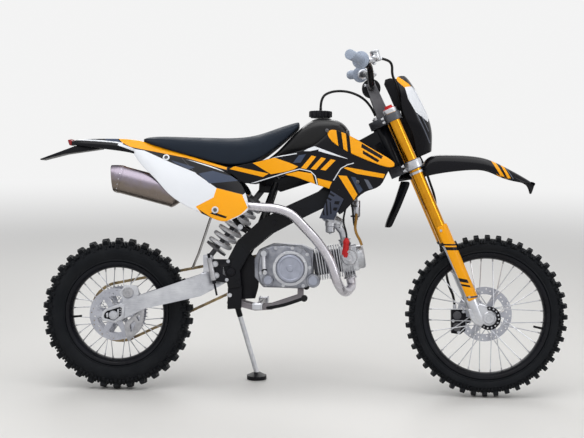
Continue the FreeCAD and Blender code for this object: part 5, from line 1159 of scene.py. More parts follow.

# %% [markdown]
# A red cap sits on the spark plug, on the right of the head, and its lead loops up to the coil that hangs
# under the frame. The inlet bends up to a small carburettor with a bowl and a bell mouth.

# %% Plug cap, coil and carburettor
plug_foot = BORE @ Vector((HEAD_START + 14, -52, 2))
plug_way = Vector((0.05, -0.30, 0.95)).normalized()
cap_top = plug_foot + plug_way * 74
plug = joined(
    rod(plug_foot - plug_way * 4, plug_foot + plug_way * 12, 7, steps=6),
    rod(plug_foot + plug_way * 10, plug_foot + plug_way * 16, 5, steps=14),
)
finish_piece(plug, "spark_plug", "root", "bright")
red_cap = spun((
    (0, 8), (12, 8), (13, 11), (13, 30), (11, 36), (10.5, 58), (11.5, 61), (11.5, 68), (8, 74), (5, 80),
    (0, 80),
), 28)
finish_piece(moved(red_cap, along(plug_foot, plug_way)), "spark_plug_cap", "root", "red_cap", slot="red_lamp")
coil_middle = Vector((843, 0, 651))
lead = pipe([
    cap_top, cap_top + plug_way * 22, cap_top + Vector((-14, -8, 62)), cap_top + Vector((-6, -2, 104)),
    (820, -44, 712), (834, -34, 660), (838, -22, 608), (coil_middle.x, 0, 594),
    coil_middle + Vector((0, 0, -42)),
], 3.4, 8)
finish_piece(lead, "plug_lead", "root", "rubber")
breather = (
    (848, -22, 640), (846, -30, 610), (843, -34, 590), (850, -32, 566), (862, -26, 548), (868, -20, 530),
)
finish_piece(pipe(breather, 5, 10), "breather_hose", "root", "amber_hose", slot="rubber")
softened("ignition_coil", "root", "bright", 1.5)
coil_bands = joined(*[
    lathed(((14, -3), (16.2, -3), (16.2, 3), (14, 3)), 32, coil_middle + Vector((0, 0, z)), (0, 0, 1))
    for z in (-20, 16)
])
finish_piece(coil_bands, "coil_bands", "root", "grey_metal")

inlet_top = BORE_ROOT + BORE_WAY * (HEAD_START + 22) + BORE_UP * (HALF + 8)
bend = inlet_top + Vector((-22, 0, 62))
throat = Vector((-66, 0, 38)).normalized()
inlet_line = [
    inlet_top + BORE_UP * 0.3, inlet_top + BORE_UP * 30, bend + Vector((2, 0, -18)), bend + throat * 12,
]
body_profile = (
    (0, -14), (21, -14), (21, -8), (18, -6), (18, 18), (22, 20), (22, 54), (19, 56), (19, 62), (22, 64),
    (22, 66), (0, 66),
)
bowl_profile = ((0, -36), (14, -36), (17, -33), (17, -14), (19, -12), (19, 8), (0, 8))
carburettor = joined(
    pipe(inlet_line, 15, 14),
    lathed(body_profile, 36, bend, throat),
    lathed(bowl_profile, 32, bend + Vector((-30, 0, 0)), (0, 0, 1)),
    lathed(((0, 0), (9, 0), (9, 26), (7, 30), (0, 30)), 20, bend + Vector((-30, 0, 14)), (-0.3, 0, 0.95)),
    bolt(bend + Vector((-30, 0, -36)), (0, 0, -1), 9, 4),
)
finish_piece(carburettor, "carburettor_cast", "root", "bright", "carburettor")
flange = [rod(inlet_top, inlet_top + BORE_UP * 5, 22, steps=28)]
for side in (-1, 1):
    flange.append(bolt(inlet_top + BORE_UP * 4 + Vector((0, side * 17, 0)), BORE_UP, 8, 5))
finish_piece(flange, "inlet_flange", "root", "hub")
tell("plug cap, coil and carburettor")

# %% [markdown]
# The kick lever is a forged arm on a splined boss, with a folding foot piece at its end. The brake pedal and
# the gear lever are bent rods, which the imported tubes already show, so they keep their shape.

# %% Kick starter, pedals and pegs
shaft = CRANK + Vector((-92, face_y - 22.3, 52))
foot_start = shaft + Vector((3, -12, -60))
foot_way = Vector((3, -22, -6)).normalized()
kick = joined(
    lathed(((0, 0), (12, 0), (12, 14), (10.5, 17), (10.5, 19.6), (0, 19.6)), 28, shaft, (0, -1, 0)),
    pipe(
        [shaft + Vector(step) for step in ((0, -10, 0), (0, -13, -20), (2, -15, -42), (3, -16, -62))], 7,
        12,
    ),
    lathed(((0, -7), (8, -7), (9, -4), (9, 21), (7.5, 24), (0, 24)), 20, foot_start, foot_way),
)
finish_piece(kick, "kick_starter_forged", "root", "bright", "kick_starter")
ribs = [
    lathed(((8, 0), (9.8, 0.6), (9.8, 2.4), (8, 3)), 20, foot_start + foot_way * (2 + 5 * k), foot_way)
    for k in range(4)
]
finish_piece(ribs, "kick_foot_ribs", "root", "rubber")

pegs = []
PEG = Vector((512, 0, 316))
PEG_ROOT = 128.3
PEG_REACH = 66
PEG_BAR = 14.5
for side in (-1, 1):
    root = side * PEG_ROOT
    end = root + side * PEG_REACH
    tread = bmesh.new()
    for x in (-PEG_BAR, PEG_BAR):
        add_box(tread, (PEG.x + x, (root + end) / 2, PEG.z - 0.5), (5, PEG_REACH, 19))
    for k in range(4):
        y = root + side * (4 + k * 19.3)
        add_box(tread, (PEG.x, y, PEG.z - 0.5), (25, 6 if k else 8, 19))
    pegs.append(rounded(tread, 1, 1))
    tooth = bmesh.new()
    bmesh.ops.create_cone(tooth, cap_ends=True, segments=4, radius1=3.4, radius2=1.2, depth=4)
    spots = [
        at(
            PEG.x + x, root + side * (7 + k * 8.6), PEG.z + 10.5,
        ) for x in (-PEG_BAR, PEG_BAR) for k in range(7)
    ]
    pegs.append(copies(tooth, spots))
finish_piece(pegs, "footpegs_toothed", "root", "bright", "footpegs")
tips = []
for x, z, low, high in ((672, 345, -127, -159), (669, 368, 131, 163)):
    reach = abs(high - low)
    profile = ((0, 0), (9, 0), (11.2, 2), (11.2, reach - 2), (9, reach), (0, reach))
    tips.append(lathed(profile, 24, (x, low, z), (0, high - low, 0)))
finish_piece(tips, "lever_tips", "root", "rubber")
tell("kick starter, pedals and pegs")

# %% [markdown]
# The header is a mandrel-bent stainless tube, as packed. It swells at a slip joint between two weld beads.
# The silencer is a round can whose rear end is cut at a slant, with a riveted band. Its steel has a purple heat
# tint above its middle line and a darker brown below it as painted shade.

# %% Exhaust
SILENCER_FRONT = Vector((244, -108, 692))
SILENCER_WAY = Vector((-0.97, 0, 0.243)).normalized()
CAN_LENGTH = 246
CAN_RADIUS = 48
CAN_TAPER = 0.279
CAN_STEPS = 48
to_can = along(SILENCER_FRONT, SILENCER_WAY)


def can_ring(radius, slide, lead=0, out=0):
    """A ring of points round the can, set further back at the top by the lead. Its end tapers."""
    ring = []
    for k in range(CAN_STEPS):
        angle = math.tau * k / CAN_STEPS
        far = slide + lead * math.cos(angle)
        wide = min(radius, CAN_RADIUS - CAN_TAPER * max(far - CAN_LENGTH, 0)) + out
        ring.append((wide * math.sin(angle), far, wide * math.cos(angle)))
    return ring


can = skin([can_ring(*row) for row in (
    (18.5, 0.5), (18.5, 3), (30, 13), (42, 24), (46.6, 29), (48, 32), (48, 36), (48, 120), (48, 205),
    (48, 230), (48, 240, 4), (48, 247, 9), (48, 253, 12), (48, 259, 15.5), (48, 260.4, 15.4, -1.2),
    (48, 260.6, 15, -3), (48, 259.6, 14.4, -4.6), (36, 257, 11.5), (27, 254, 8.5), (23, 251, 7),
    (22, 247, 6), (22, 231, 0),
)], closed=True)
finish_piece(
    moved(can, to_can), "silencer_can", "root", "silencer", "silencer", slot="stainless",
    angle=math.radians(35),
)
bands = []
for start, wide in ((33, 7), (225, 15)):
    bands.append(skin([can_ring(CAN_RADIUS, start + share * wide, 0, out) for share, out in (
        (0, -0.8), (0.05, 1.1), (0.95, 1.1), (1, -0.8),
    )], closed=True))
finish_piece(moved(joined(*bands), to_can), "silencer_bands", "root", "silencer", slot="stainless")
rivet = spun(((0, 1.4), (1.5, 1.1), (2.2, 0), (0, 0)), 10)
rivets = copies(rivet, [
    Matrix.Translation(can_ring(CAN_RADIUS, 232.5, 0, 0.9)[k])
    @ Matrix.Rotation(math.tau * k / CAN_STEPS, 4, "Y") @ Matrix.Rotation(math.radians(90), 4, "X")
    for k in range(0, CAN_STEPS, 3)
])
finish_piece(moved(rivets, to_can), "silencer_rivets", "root", "bright")

beads = []
header_joint = SILENCER_FRONT - SILENCER_WAY * 30
for place, way in ((header_joint, SILENCER_WAY), (header_joint - SILENCER_WAY * 26, SILENCER_WAY)):
    beads.append(lathed(((15.8, -2.5), (18.2, -1.2), (18.2, 1.2), (15.8, 2.5)), 40, place, way))
slip_joint = ((15.6, -14), (18.6, -14), (18.6, 14), (15.6, 14))
beads.append(lathed(slip_joint, 40, header_joint - SILENCER_WAY * 13, SILENCER_WAY))
finish_piece(beads, "header_joint", "root", "stainless")
tell("exhaust")

# %% [markdown]
# The main frame and the bolted rear frame are as packed: box spars, a backbone and bent tubes. Sharp edges
# are rolled over like pressed steel, and thin black covers lie on the hangers and behind the engine. The
# shock keeps its turned body, and its coil is a round wire.

# %% Frame, shock and lower bracket
softened("main_frame", "root", "frame_black", 4, 3)
softened("lower_bracket", "root", "rail_grey", 2, slot="grey_metal")
HANGER = ((401, 372), (450, 380), (450, 302), (401, 298))
MOUNT_PLATE = ((430, 496), (462, 508), (504, 470), (510, 420), (506, 372), (496, 336), (440, 332), (430, 372))
covers = joined(
    plate(HANGER, 94, 95.6, 0.4), plate(HANGER, -95.6, -94, 0.4), plate(MOUNT_PLATE, -66, -62, 1),
)
finish_piece(covers, "hanger_covers", "root", "black_matt")
softened("shock_absorber", "root", "grey_metal", 1)
softened("bar_risers", "steering", "grey_metal", 2.5)
softened("mud_flap", "root", "flap_brown", 0.6, 1, slot="black_matt")

SHOCK_TOP = Vector((517, 0, 727))
SHOCK_BOTTOM = Vector((320, 0, 470))
SPRING_TURNS = 7
SPRING_RADIUS = 37
SPRING_WIRE = 7.6
STEPS_PER_TURN = 24
shock_way = (SHOCK_TOP - SHOCK_BOTTOM).normalized()
spring_from = SHOCK_BOTTOM + shock_way * 57.5
spring_length = ((SHOCK_TOP - shock_way * 71.5) - spring_from).length
spring_steps = SPRING_TURNS * STEPS_PER_TURN
wire = bmesh.new()
bmesh.ops.create_circle(
    wire, cap_ends=True, segments=12, radius=SPRING_WIRE,
    matrix=at(SPRING_RADIUS, 0, 0) @ Matrix.Rotation(math.radians(90), 4, "X"),
)
bmesh.ops.spin(
    wire, geom=wire.verts[:] + wire.edges[:] + wire.faces[:], cent=(0, 0, 0), axis=(0, 0, 1),
    dvec=(0, 0, spring_length / spring_steps), angle=math.tau * SPRING_TURNS, steps=spring_steps,
)
bmesh.ops.remove_doubles(wire, verts=wire.verts, dist=0.001)
bmesh.ops.recalc_face_normals(wire, faces=wire.faces)
to_shock = Matrix.Translation(spring_from) @ shock_way.to_track_quat("Z", "Y").to_matrix().to_4x4()
finish_piece(moved(wire, to_shock), "shock_spring_coil", "root", "spring", "shock_spring")

bolts, pivots = [], []
for side in (-1, 1):
    bolts.append(bolt((442, side * 102, 588), (0, side, 0), 12, 7))
    bolts.append(bolt((409, side * 94, 348), (0, side, 0), 14, 6))
    pivots.append(button((412, side * 102, 430), (0, side, 0), 17, 7))
    pivots.append(bolt((562, side * 102, 606), (0, side, 0), 12, 5))
finish_piece(bolts, "frame_bolts", "root", "bright")
finish_piece(pivots, "pivot_bolts", "root", "black_matt")
tell("frame, shock and lower bracket")

# %% [markdown]
# The seat is one foam pad under a stretched cover. Its cross-section is crowned, its sides lean out to a
# lower edge that is tucked under, and a raised seam runs along each shoulder from the tank to the tail.

# %% Seat
SEAT_ROWS = (
    # x, floor, side's foot, shoulder, top, half width
    (88, 884, 887, 888, 891, 46),
    (93, 882, 885, 892, 899, 66),
    (120, 873, 877, 893, 903, 80),
    (160, 861, 866, 891, 905, 86),
    (222, 843, 849, 887, 904, 92),
    (294, 826, 831, 882, 903, 98),
    (366, 807, 813, 878, 902, 104),
    (420, 803, 808, 877, 903, 106),
    (470, 810, 815, 881, 909, 104),
    (516, 832, 839, 893, 922, 99),
    (560, 868, 876, 916, 939, 90),
    (600, 903, 911, 935, 953, 80),
    (632, 934, 938, 949, 962, 70),
    (640, 943, 945, 951, 963, 62),
)
sections = []
for x, floor_z, foot, shoulder, top, half in SEAT_ROWS:
    rise = top - shoulder
    right = (
        (-half * 0.9, floor_z), (-half * 0.99, floor_z + 1), (-half * 1.01, foot + 3),
        (-half, (foot + shoulder) / 2), (-half * 0.965, shoulder - 5), (-half * 0.93, shoulder),
        (-half * 0.86, shoulder + rise * 0.28), (-half * 0.62, shoulder + rise * 0.70),
        (-half * 0.3, shoulder + rise * 0.95),
    )
    ring = mirrored([(x, y, z) for y, z in right])
    ring.insert(len(right), (x, 0, top))
    sections.append(ring)
seat_piece = moulded(skin(sections, closed=True), "seat_pad", "root", "seat_cover", "seat", angle=80)
seam = [(x, -half * 0.93 + 1.6, shoulder - 1) for x, _, _, shoulder, _, half in SEAT_ROWS[1:-1]]
finish_piece(both_sides(pipe(seam, 2.2, 8)), "seat_piping", "root", "seat_cover")
print("seat rows:", len(SEAT_ROWS))
tell("seat")

# %% [markdown]
# The tank is a moulded shell that swells over the backbone and narrows under the seat's nose. A screw cap
# with a ribbed skirt stands on it, with a spigot for the vent hose.

# %% Tank and cap
TANK_ROWS = (
    # x, floor, shoulder, top, half width
    (522, 814, 820, 824, 58), (560, 820, 838, 850, 66), (593, 828, 868, 888, 74), (630, 833, 902, 926, 82),
    (653, 836, 922, 947, 87), (688, 843, 935, 975, 91), (720, 848, 937, 978, 92), (766, 858, 937, 976, 89),
    (798, 876, 931, 961, 79), (822, 892, 915, 929, 62),
)
sections = []
for x, floor_z, shoulder, top, half in TANK_ROWS:
    right = (
        (-half * 0.7, floor_z), (-half * 0.84, floor_z + (shoulder - floor_z) * 0.15),
        (-half * 0.99, shoulder - 4), (-half * 0.93, shoulder + (top - shoulder) * 0.45),
        (-half * 0.72, shoulder + (top - shoulder) * 0.82), (-half * 0.34, top),
    )
    sections.append(mirrored([(x, y, z) for y, z in right]))
moulded(
    skin(sections, closed=True), "fuel_tank_moulded", "root", "tank_black", "fuel_tank", slot="black_matt",
    angle=32,
)

CAP = Vector((714, 0, 978.3))
cap_profile = (
    (0, 0), (35, 0), (36, 3), (36.5, 20), (34, 25), (26, 26.5), (24, 24.5), (8, 24.5), (7, 27), (0, 27),
)
cap = spun(cap_profile, 48)
rib = spun(((0, 3.5), (5.2, 3.5), (5.6, 6), (5.6, 20), (4, 24.5), (0, 25.5)), 14)
ribs = copies(rib, [Matrix.Rotation(math.radians(30 * k), 4, "Y") @ at(0, 0, 35.6) for k in range(12)])
spigot = spun(((0, 24), (6.5, 24), (5, 27), (4.8, 32), (5.6, 34), (4.4, 36), (0, 36)), 16)
finish_piece(
    moved(joined(cap, ribs, spigot), along(CAP, (0, 0, 1))), "fuel_cap_ribbed", "root", "black_matt",
    "fuel_cap",
)
tell("tank and cap")

# %% [markdown]
# The bodywork is thin moulded plastic with printed film on it. Each skin is bridged from rows of points and
# smoothed. The stripes are not modelled: they are colours that nodes choose by the place in the side view.

# %% Graphics
BLUE_GREY = (0.045, 0.060, 0.100)
DARK = (0.004, 0.004, 0.006)
MID_GREY = (0.11, 0.12, 0.15)


def painted(name, base, shapes, roughness=0.17):
    """Gloss plastic with flat-coloured convex shapes on it, each a colour and corners in the side view."""
    made = gloss_finish(name, base, base, roughness, 0.16)
    shader = made.node_tree.nodes["Principled BSDF"]
    colour = shader.inputs["Base Color"].links[0].from_socket
    parts = node(made, "SeparateXYZ", Vector=bike_place(made))
    spot = node(made, "CombineXYZ", X=parts.outputs["X"], Z=parts.outputs["Z"])
    spot.inputs["Y"].default_value = 1
    for tint, corners in shapes:
        middle = [sum(corner[k] for corner in corners) / len(corners) for k in (0, 1)]
        inside = None
        for (x0, z0), (x1, z1) in zip(corners, corners[1:] + corners[:1]):
            way_x, way_z = z0 - z1, x1 - x0
            size = math.hypot(way_x, way_z)
            sign = 1 if (middle[0] - x0) * way_x + (middle[1] - z0) * way_z > 0 else -1
            edge = node(made, "VectorMath", Vector=spot.outputs["Vector"])
            edge.operation = "DOT_PRODUCT"
            edge.inputs[1].default_value = (
                sign * way_x / size, -sign * (way_x * x0 + way_z * z0) / size, sign * way_z / size,
            )
            if inside is None:
                inside = edge.outputs["Value"]
            else:
                least = node(made, "Math", Value=inside)
                least.operation = "MINIMUM"
                made.node_tree.links.new(edge.outputs["Value"], least.inputs[1])
                inside = least.outputs["Value"]
        share = span(made, inside, 0, 1, -0.3, 0.3)
        colour = colour_between(made, share, colour, tint)
    feed(made, colour, "Base Color")
    return made


def stripe(colour, wide, *points):
    """A row of thin convex shapes along a line in the side view."""
    shapes = []
    for (x0, z0), (x1, z1) in zip(points, points[1:]):
        size = math.hypot(x1 - x0, z1 - z0)
        nx, nz = -(z1 - z0) / size * wide / 2, (x1 - x0) / size * wide / 2
        corners = [(x0 + nx, z0 + nz), (x1 + nx, z1 + nz), (x1 - nx, z1 - nz), (x0 - nx, z0 - nz)]
        shapes.append((colour, corners))
    return shapes


FINISHES["fender_film"] = painted("fender film", DARK, [
    (YELLOW, [(-8, 900), (95, 900), (104, 884), (20, 876)]),
    (YELLOW, [(20, 877), (100, 898), (131, 869), (100, 856), (49, 863)]),
    (YELLOW, [(49, 863), (131, 870), (262, 832), (252, 826)]),
    (YELLOW, [(240, 829), (131, 870), (392, 796), (391, 787)]),
    *stripe(WHITE, 5, (-150, 888), (-80, 885), (-20, 881), (19, 875)),
    *stripe(WHITE, 9, (3, 873), (60, 853), (117, 829), (180, 806), (242, 780)),
    (BLUE_GREY, [(-60, 900), (-12, 900), (10, 880), (-40, 884)]),
])
FINISHES["panel_film"] = painted("side panel film", WHITE, [
    (YELLOW, [(361, 723), (453, 701), (476, 655), (452, 629), (352, 690)]),
    (YELLOW, [(452, 632), (394, 601), (319, 627), (292, 657), (352, 690)]),
    (DARK, [(232, 827), (475, 752), (470, 716), (453, 701), (361, 723), (290, 770)]),
    (DARK, [(60, 862), (232, 827), (290, 770), (200, 808)]),
    (BLUE_GREY, [(196, 818), (282, 794), (262, 786), (214, 806)]),
    (BLUE_GREY, [(296, 772), (344, 783), (457, 752), (335, 738)]),
    (DARK, [(290, 662), (300, 650), (352, 617), (322, 626)]),
    (DARK, [(342, 634), (352, 640), (402, 624), (396, 618)]),
    *stripe(WHITE, 4, (453, 701), (474, 655), (450, 631), (394, 603)),
])
BARS = [
    (YELLOW, [(x + 34 * k, z - fall * k) for x, z, fall in (
        (652, 797, 2), (688, 842, 6), (704, 838, 6), (670, 794, 2),
    )])
    for k in range(3)
]
FINISHES["shroud_film"] = painted("shroud film", DARK, [
    (YELLOW, [(483, 812), (559, 832), (612, 815), (642, 802), (627, 792), (597, 783), (548, 774)]),
    (YELLOW, [(402, 790), (420, 800), (540, 776), (520, 764)]),
    (YELLOW, [(597, 775), (643, 786), (691, 779), (703, 741), (648, 754)]),
    (YELLOW, [(709, 763), (761, 751), (751, 727), (714, 738)]),
    (BLUE_GREY, [(624, 815), (643, 842), (668, 846), (650, 816)]),
    *BARS,
    (YELLOW, [(800, 800), (812, 803), (944, 780), (938, 766), (846, 780)]),
    (YELLOW, [(782, 774), (812, 772), (850, 708), (838, 688)]),
    (BLUE_GREY, [(826, 770), (842, 768), (868, 724), (856, 712)]),
    (MID_GREY, [(872, 762), (886, 759), (904, 730), (890, 728)]),
    (WHITE, [(634, 846), (634, 850), (675, 866), (692, 876), (713, 869), (711, 857), (682, 857)]),
    (WHITE, [(711, 857), (713, 869), (813, 833), (811, 829), (739, 850)]),
    *stripe(WHITE, 3.2, (404, 797), (543, 831), (636, 848)),
    *stripe(WHITE, 3.2, (457, 733), (597, 779), (648, 794), (686, 786), (702, 771), (710, 740), (724, 664)),
    *stripe(WHITE, 3, (835, 817), (813, 811), (791, 798), (781, 782), (766, 756)),
])

FINISHES["slot_film"] = painted("dark grey paint", (0.045, 0.052, 0.078), [
    (DARK, [(744, 712), (750, 716), (772, 704), (768, 699)]),
    (DARK, [(734, 698), (737, 705), (762, 690), (758, 684)]),
    (DARK, [(726, 684), (730, 690), (738, 634), (732, 634)]),
    (DARK, [(740, 688), (745, 686), (750, 634), (744, 634)]),
    (DARK, [(754, 682), (758, 680), (762, 640), (757, 638)]),
    (DARK, [(772, 684), (790, 684), (786, 672), (770, 674)]),
    (DARK, [(768, 662), (782, 662), (778, 650), (766, 652)]),
], 0.4)
softened("slotted_plate", "root", "slot_film", 1, slot="black_matt")

FINISHES["strip_film"] = painted("strip film", YELLOW, [
    (DARK, [(772, 932), (790, 926), (800, 860), (782, 870)]),
    (DARK, [(806, 921), (818, 917), (826, 848), (814, 854)]),
    (DARK, [(862, 886), (936, 842), (930, 832), (860, 872)]),
    (DARK, [(866, 862), (924, 828), (918, 820), (866, 850)]),
], 0.2)
tell("graphics")

# %% [markdown]
# The rear fender is one long moulding: a deck under the seat's tail with turned-down sides, running out to
# the light. The plate holder hangs behind it on the same line. Both are open below, so they have an inside.

# %% Rear fender, tail and light
PLASTIC = 3.6
FENDER_ROWS = (
    # x, top, edge, half width
    (-171, 883.5, 868, 43), (-150, 888, 867, 52), (-93, 892.7, 861, 67), (-9, 893.7, 853, 83),
    (40, 892, 844, 89), (85, 886.7, 834, 93), (152, 865.7, 820, 99), (220, 849, 808, 104),
    (294, 827.7, 794, 109), (350, 812, 781, 112), (395, 801.7, 772, 113), (450, 809, 771, 113),
    (495, 817.7, 770, 113),
)
sections = []
for x, top, edge, half in FENDER_ROWS:
    fall = min(half * 0.35, (top - edge) * 0.6)
    right = (
        (-half, edge), (-half, edge + 2.5), (-half, top - fall - 2), (-half + 3, top - fall + 2),
        (-half + fall - 4, top - 2), (-half + fall + 3, top), (-half * 0.3, top),
    )
    sections.append(mirrored([(x, y, z) for y, z in right]))
moulded(
    skin(sections, thickness=PLASTIC), "rear_fender_moulded", "root", "fender_film", "rear_fender",
    slot="black_plastic",
)
softened("tail_plate", "root", "black_matt", 1.2, slot="black_plastic")

lamp = plate(
    ((-171.3, 884), (-176, 888), (-184, 887), (-186, 884), (-180, 868.5), (-178, 867), (-171.3, 866)), -34,
    34, 2.4,
    segments=3,
)
finish_piece(lamp, "tail_lamp_lens", "root", "red_lamp", "tail_light")
ribs = bmesh.new()
for k in range(7):
    add_box(ribs, (-176.5, -24 + 8 * k, 888.2), (7, 1.4, 1.4))
finish_piece(ribs, "tail_lamp_ribs", "root", "red_lamp")
tell("rear fender, tail and light")

# %% [markdown]
# The side panels bulge outwards over the silencer. Their upper edge tucks in under the seat, and their front
# corner is pulled back to a point. Each cross-section is bowed, so the skin reads as moulded.

# %% Side panels
PANEL_ROWS = (
    # x, top, bottom, distance out at the top and at the bottom
    (62, 856, 836, 96, 102), (100, 852, 790, 99, 128), (151, 842, 750, 104.5, 156),
    (196, 834, 696, 107.5, 170), (250, 823, 662, 111, 175), (304, 810, 638, 114.9, 178),
    (352, 796, 617, 117, 178), (394, 778, 602, 118.5, 178), (430, 754, 620, 122.5, 175),
    (454, 730, 632, 130, 172), (468, 692, 642, 141, 165), (474, 664, 648, 150, 158),
)


def panel_rows(rows, bulge, share=(0, 0.04, 0.25, 0.5, 0.75, 0.96, 1)):
    """Cross-sections of a right-hand skin, bowed outwards between its top and its bottom."""
    sections = []
    for x, top, bottom, out_top, out_bottom in rows:
        section = []
        for part in share:
            bow = math.sin(math.pi * part) * bulge * (out_bottom - out_top)
            section.append((x, -(out_top + (out_bottom - out_top) * part + bow), top + (bottom - top) * part))
        sections.append(section)
    return sections


panels = both_sides(skin(panel_rows(PANEL_ROWS, 0.14), thickness=PLASTIC))
moulded(panels, "side_panels_moulded", "root", "panel_film", "side_panels", slot="white")
tell("side panels")

# %% [markdown]
# The shrouds wrap from the seat to the radiator's place, with an upper strip laid over the black wing. Screws
# with washers hold all the bodywork.

# %% Shrouds
SHROUD_ROWS = (
    # x, top, bottom, distance out at the top and at the bottom
    (396, 793, 786, 119, 119.6), (424, 800, 762, 119, 120.2), (456, 808, 735, 119, 121),
    (500, 818, 744, 119, 122), (546, 830, 757, 119, 122), (572, 838, 765, 114, 122),
    (603, 846, 774, 110, 122), (650, 859, 762, 104, 123), (693, 874, 744, 100, 124),
    (728, 906, 734, 95, 125), (745, 925, 729, 93.4, 126), (763, 933, 722, 94.2, 130),
    (781, 927, 629, 100, 134), (797, 922, 642, 102, 136), (813, 918, 656, 104, 138),
    (846, 900, 696, 112, 142), (879, 884, 722, 120, 146), (904, 866, 728, 128, 150),
    (930, 850, 738, 138, 155), (942, 841, 764, 143, 157), (954, 833, 792, 147, 158),
    (970, 820, 804, 152, 158), (977, 815, 806, 154, 158),
)
shrouds = both_sides(skin(panel_rows(SHROUD_ROWS, 0.18), thickness=PLASTIC))
moulded(shrouds, "shrouds_moulded", "root", "shroud_film", "shrouds", slot="black_plastic", levels=1)
STRIP_ROWS = (
    # x, top, bottom, distance out at the top and at the bottom
    (742, 926, 916, 97, 101), (755, 936, 893, 97, 103), (779, 931, 876, 100, 109),
    (815, 917, 855, 107, 117), (860, 891, 836, 118, 131), (905, 864, 818, 131, 143),
    (945, 842, 805, 144, 154), (966, 829, 803, 151, 158), (976, 818, 809, 156, 159),
)
raised = [(x, top, bottom, near + 1, far + 2) for x, top, bottom, near, far in STRIP_ROWS]
strips = both_sides(skin(panel_rows(raised, 0.1), thickness=3))
moulded(strips, "shroud_strips", "root", "strip_film", slot="yellow", levels=1)

screws = []
for side in (-1, 1):
    for x, y, z in ((740, 99, 930), (812, 108, 926), (787, 122, 724), (850, 144, 752)):
        screws.append(button((x, side * (y + 2.5), z), (0, side, -0.1), 6.5, 4))
    screws.append(button((179, side * 115.4, 827), (0, side, 0.5), 7, 4))
    screws.append(button((360, side * 179.5, 647), (0, side, 0), 7, 4))
finish_piece(screws, "bodywork_screws", "root", "grey_metal")
rings = []
for side in (-1, 1):
    for x, y, z, rise in ((179, 114.6, 827, 0.5), (360, 178.4, 647, 0)):
        rings.append(moved(
            spun(((6.6, -2), (12, -2), (12, 1.2), (11, 1.8), (7, 1.8)), 32),
            along((x, side * y, z), (0, side, rise)),
        ))
finish_piece(rings, "screw_rings", "root", "white")
tell("shrouds")

# %% [markdown]
# The fork's outer tubes are gold-anodised. The clamps are dark cast plates with pinch bolts. A bright ring
# stands round each lower eye and each tube's top. Below, bright inner legs run into cast axle
# carriers. A guard of yellow plastic covers the front of each leg.

# %% Fork
LEG = 95
FORK_TOP = 768
UPPER_CLAMP_LOW = 723.6
LOWER_CLAMP_LOW = 539
FORK_FRAME = Matrix((AHEAD_FORK, (0, 1, 0), UP_FORK)).transposed().to_4x4()
FORK_FRAME.translation = STEER_FOOT


def on_fork(bm):
    """Takes a mesh from the fork's own axes (ahead, left, up the stem) to the bike."""
    return moved(bm, FORK_FRAME)


def on_leg(profile, steps, y, height):
    """A spun outline round a fork leg, in the fork's own axes."""
    return lathed(profile, steps, (FORK_AHEAD, y, height), (0, 0, 1))


softened("fork_clamps", "steering", "case_dark", 2, 2, math.radians(35), slot="frame_black")
finish_piece(rounded(packed("fork_tubes"), 0.8, 1), "fork_tubes_gold", "steering", "gold", "fork_tubes")
caps, collars, pinches, wipers = [], [], [], []
for side in (-1, 1):
    y = side * LEG
    cap_profile = ((0, -4), (21, -4), (21, 1.5), (19.5, 3), (14, 3.4), (13.4, 11.4), (12, 12), (0, 12))
    caps.append(on_leg(cap_profile, 36, y, FORK_TOP))
    caps.append(bolt((FORK_AHEAD, y, FORK_TOP + 6.5), (0, 0, 1), 12, 4))
    for low, depth in ((LOWER_CLAMP_LOW, 34), (UPPER_CLAMP_LOW, 28)):
        for share in (0.25, 0.75):
            pinches.append(bolt((FORK_AHEAD - 33, y - side * 4, low + depth * share), (-1, 0, 0), 8, 6))
    collars.append(on_leg(((22, -5), (24.4, -4), (24.4, 4), (22, 5)), 40, y, LOWER_CLAMP_LOW - 12))
    eye = ((22.2, 3), (31.4, 3), (32, 5), (32, 29), (31.4, 31), (22.2, 31))
    collars.append(on_leg(eye, 40, y, LOWER_CLAMP_LOW))
    top_ring = ((22.2, -15), (24.6, -15), (24.6, -1), (24, 0), (22.2, 0))
    collars.append(on_leg(top_ring, 40, y, FORK_TOP))
    wipers.append(on_leg(((16.4, -9), (20, -8), (22.6, -4), (22.8, 3), (16.4, 3)), 36, y, 264))
finish_piece(on_fork(joined(*caps)), "fork_caps", "steering", "red_cap", slot="gold")
finish_piece(on_fork(joined(*collars)), "fork_collars", "steering", "bright")
finish_piece(on_fork(joined(*pinches)), "clamp_bolts", "steering", "bright")
finish_piece(on_fork(joined(*wipers)), "fork_wipers", "steering", "rubber")
stem_nut = joined(
    rounded(rod((0, 0, 751), (0, 0, 760), 19, steps=6), 1, 1), rod((0, 0, 758), (0, 0, 763.5), 12, steps=24),
)
finish_piece(on_fork(stem_nut), "stem_nut", "steering", "bright")


def fork_band(low, high, back, front, slant=0):
    """A band across the leg in the side view, lower at its front by the slant."""
    corners = (steer(low, back), steer(low - slant, front), steer(high - slant, front), steer(high, back))
    return [(corner.x, corner.z) for corner in corners]


FINISHES["guard_film"] = painted("guard film", YELLOW, [
    (DARK, fork_band(262, 268, 26, 84, 26)),
    (DARK, fork_band(244, 256, 26, 84, 26)),
    (DARK, fork_band(128, 142, 26, 66, 26)),
    (DARK, fork_band(112, 120, 26, 66, 26)),
    (BLUE_GREY, fork_band(60, 66, 30, 84, 18)),
], 0.2)

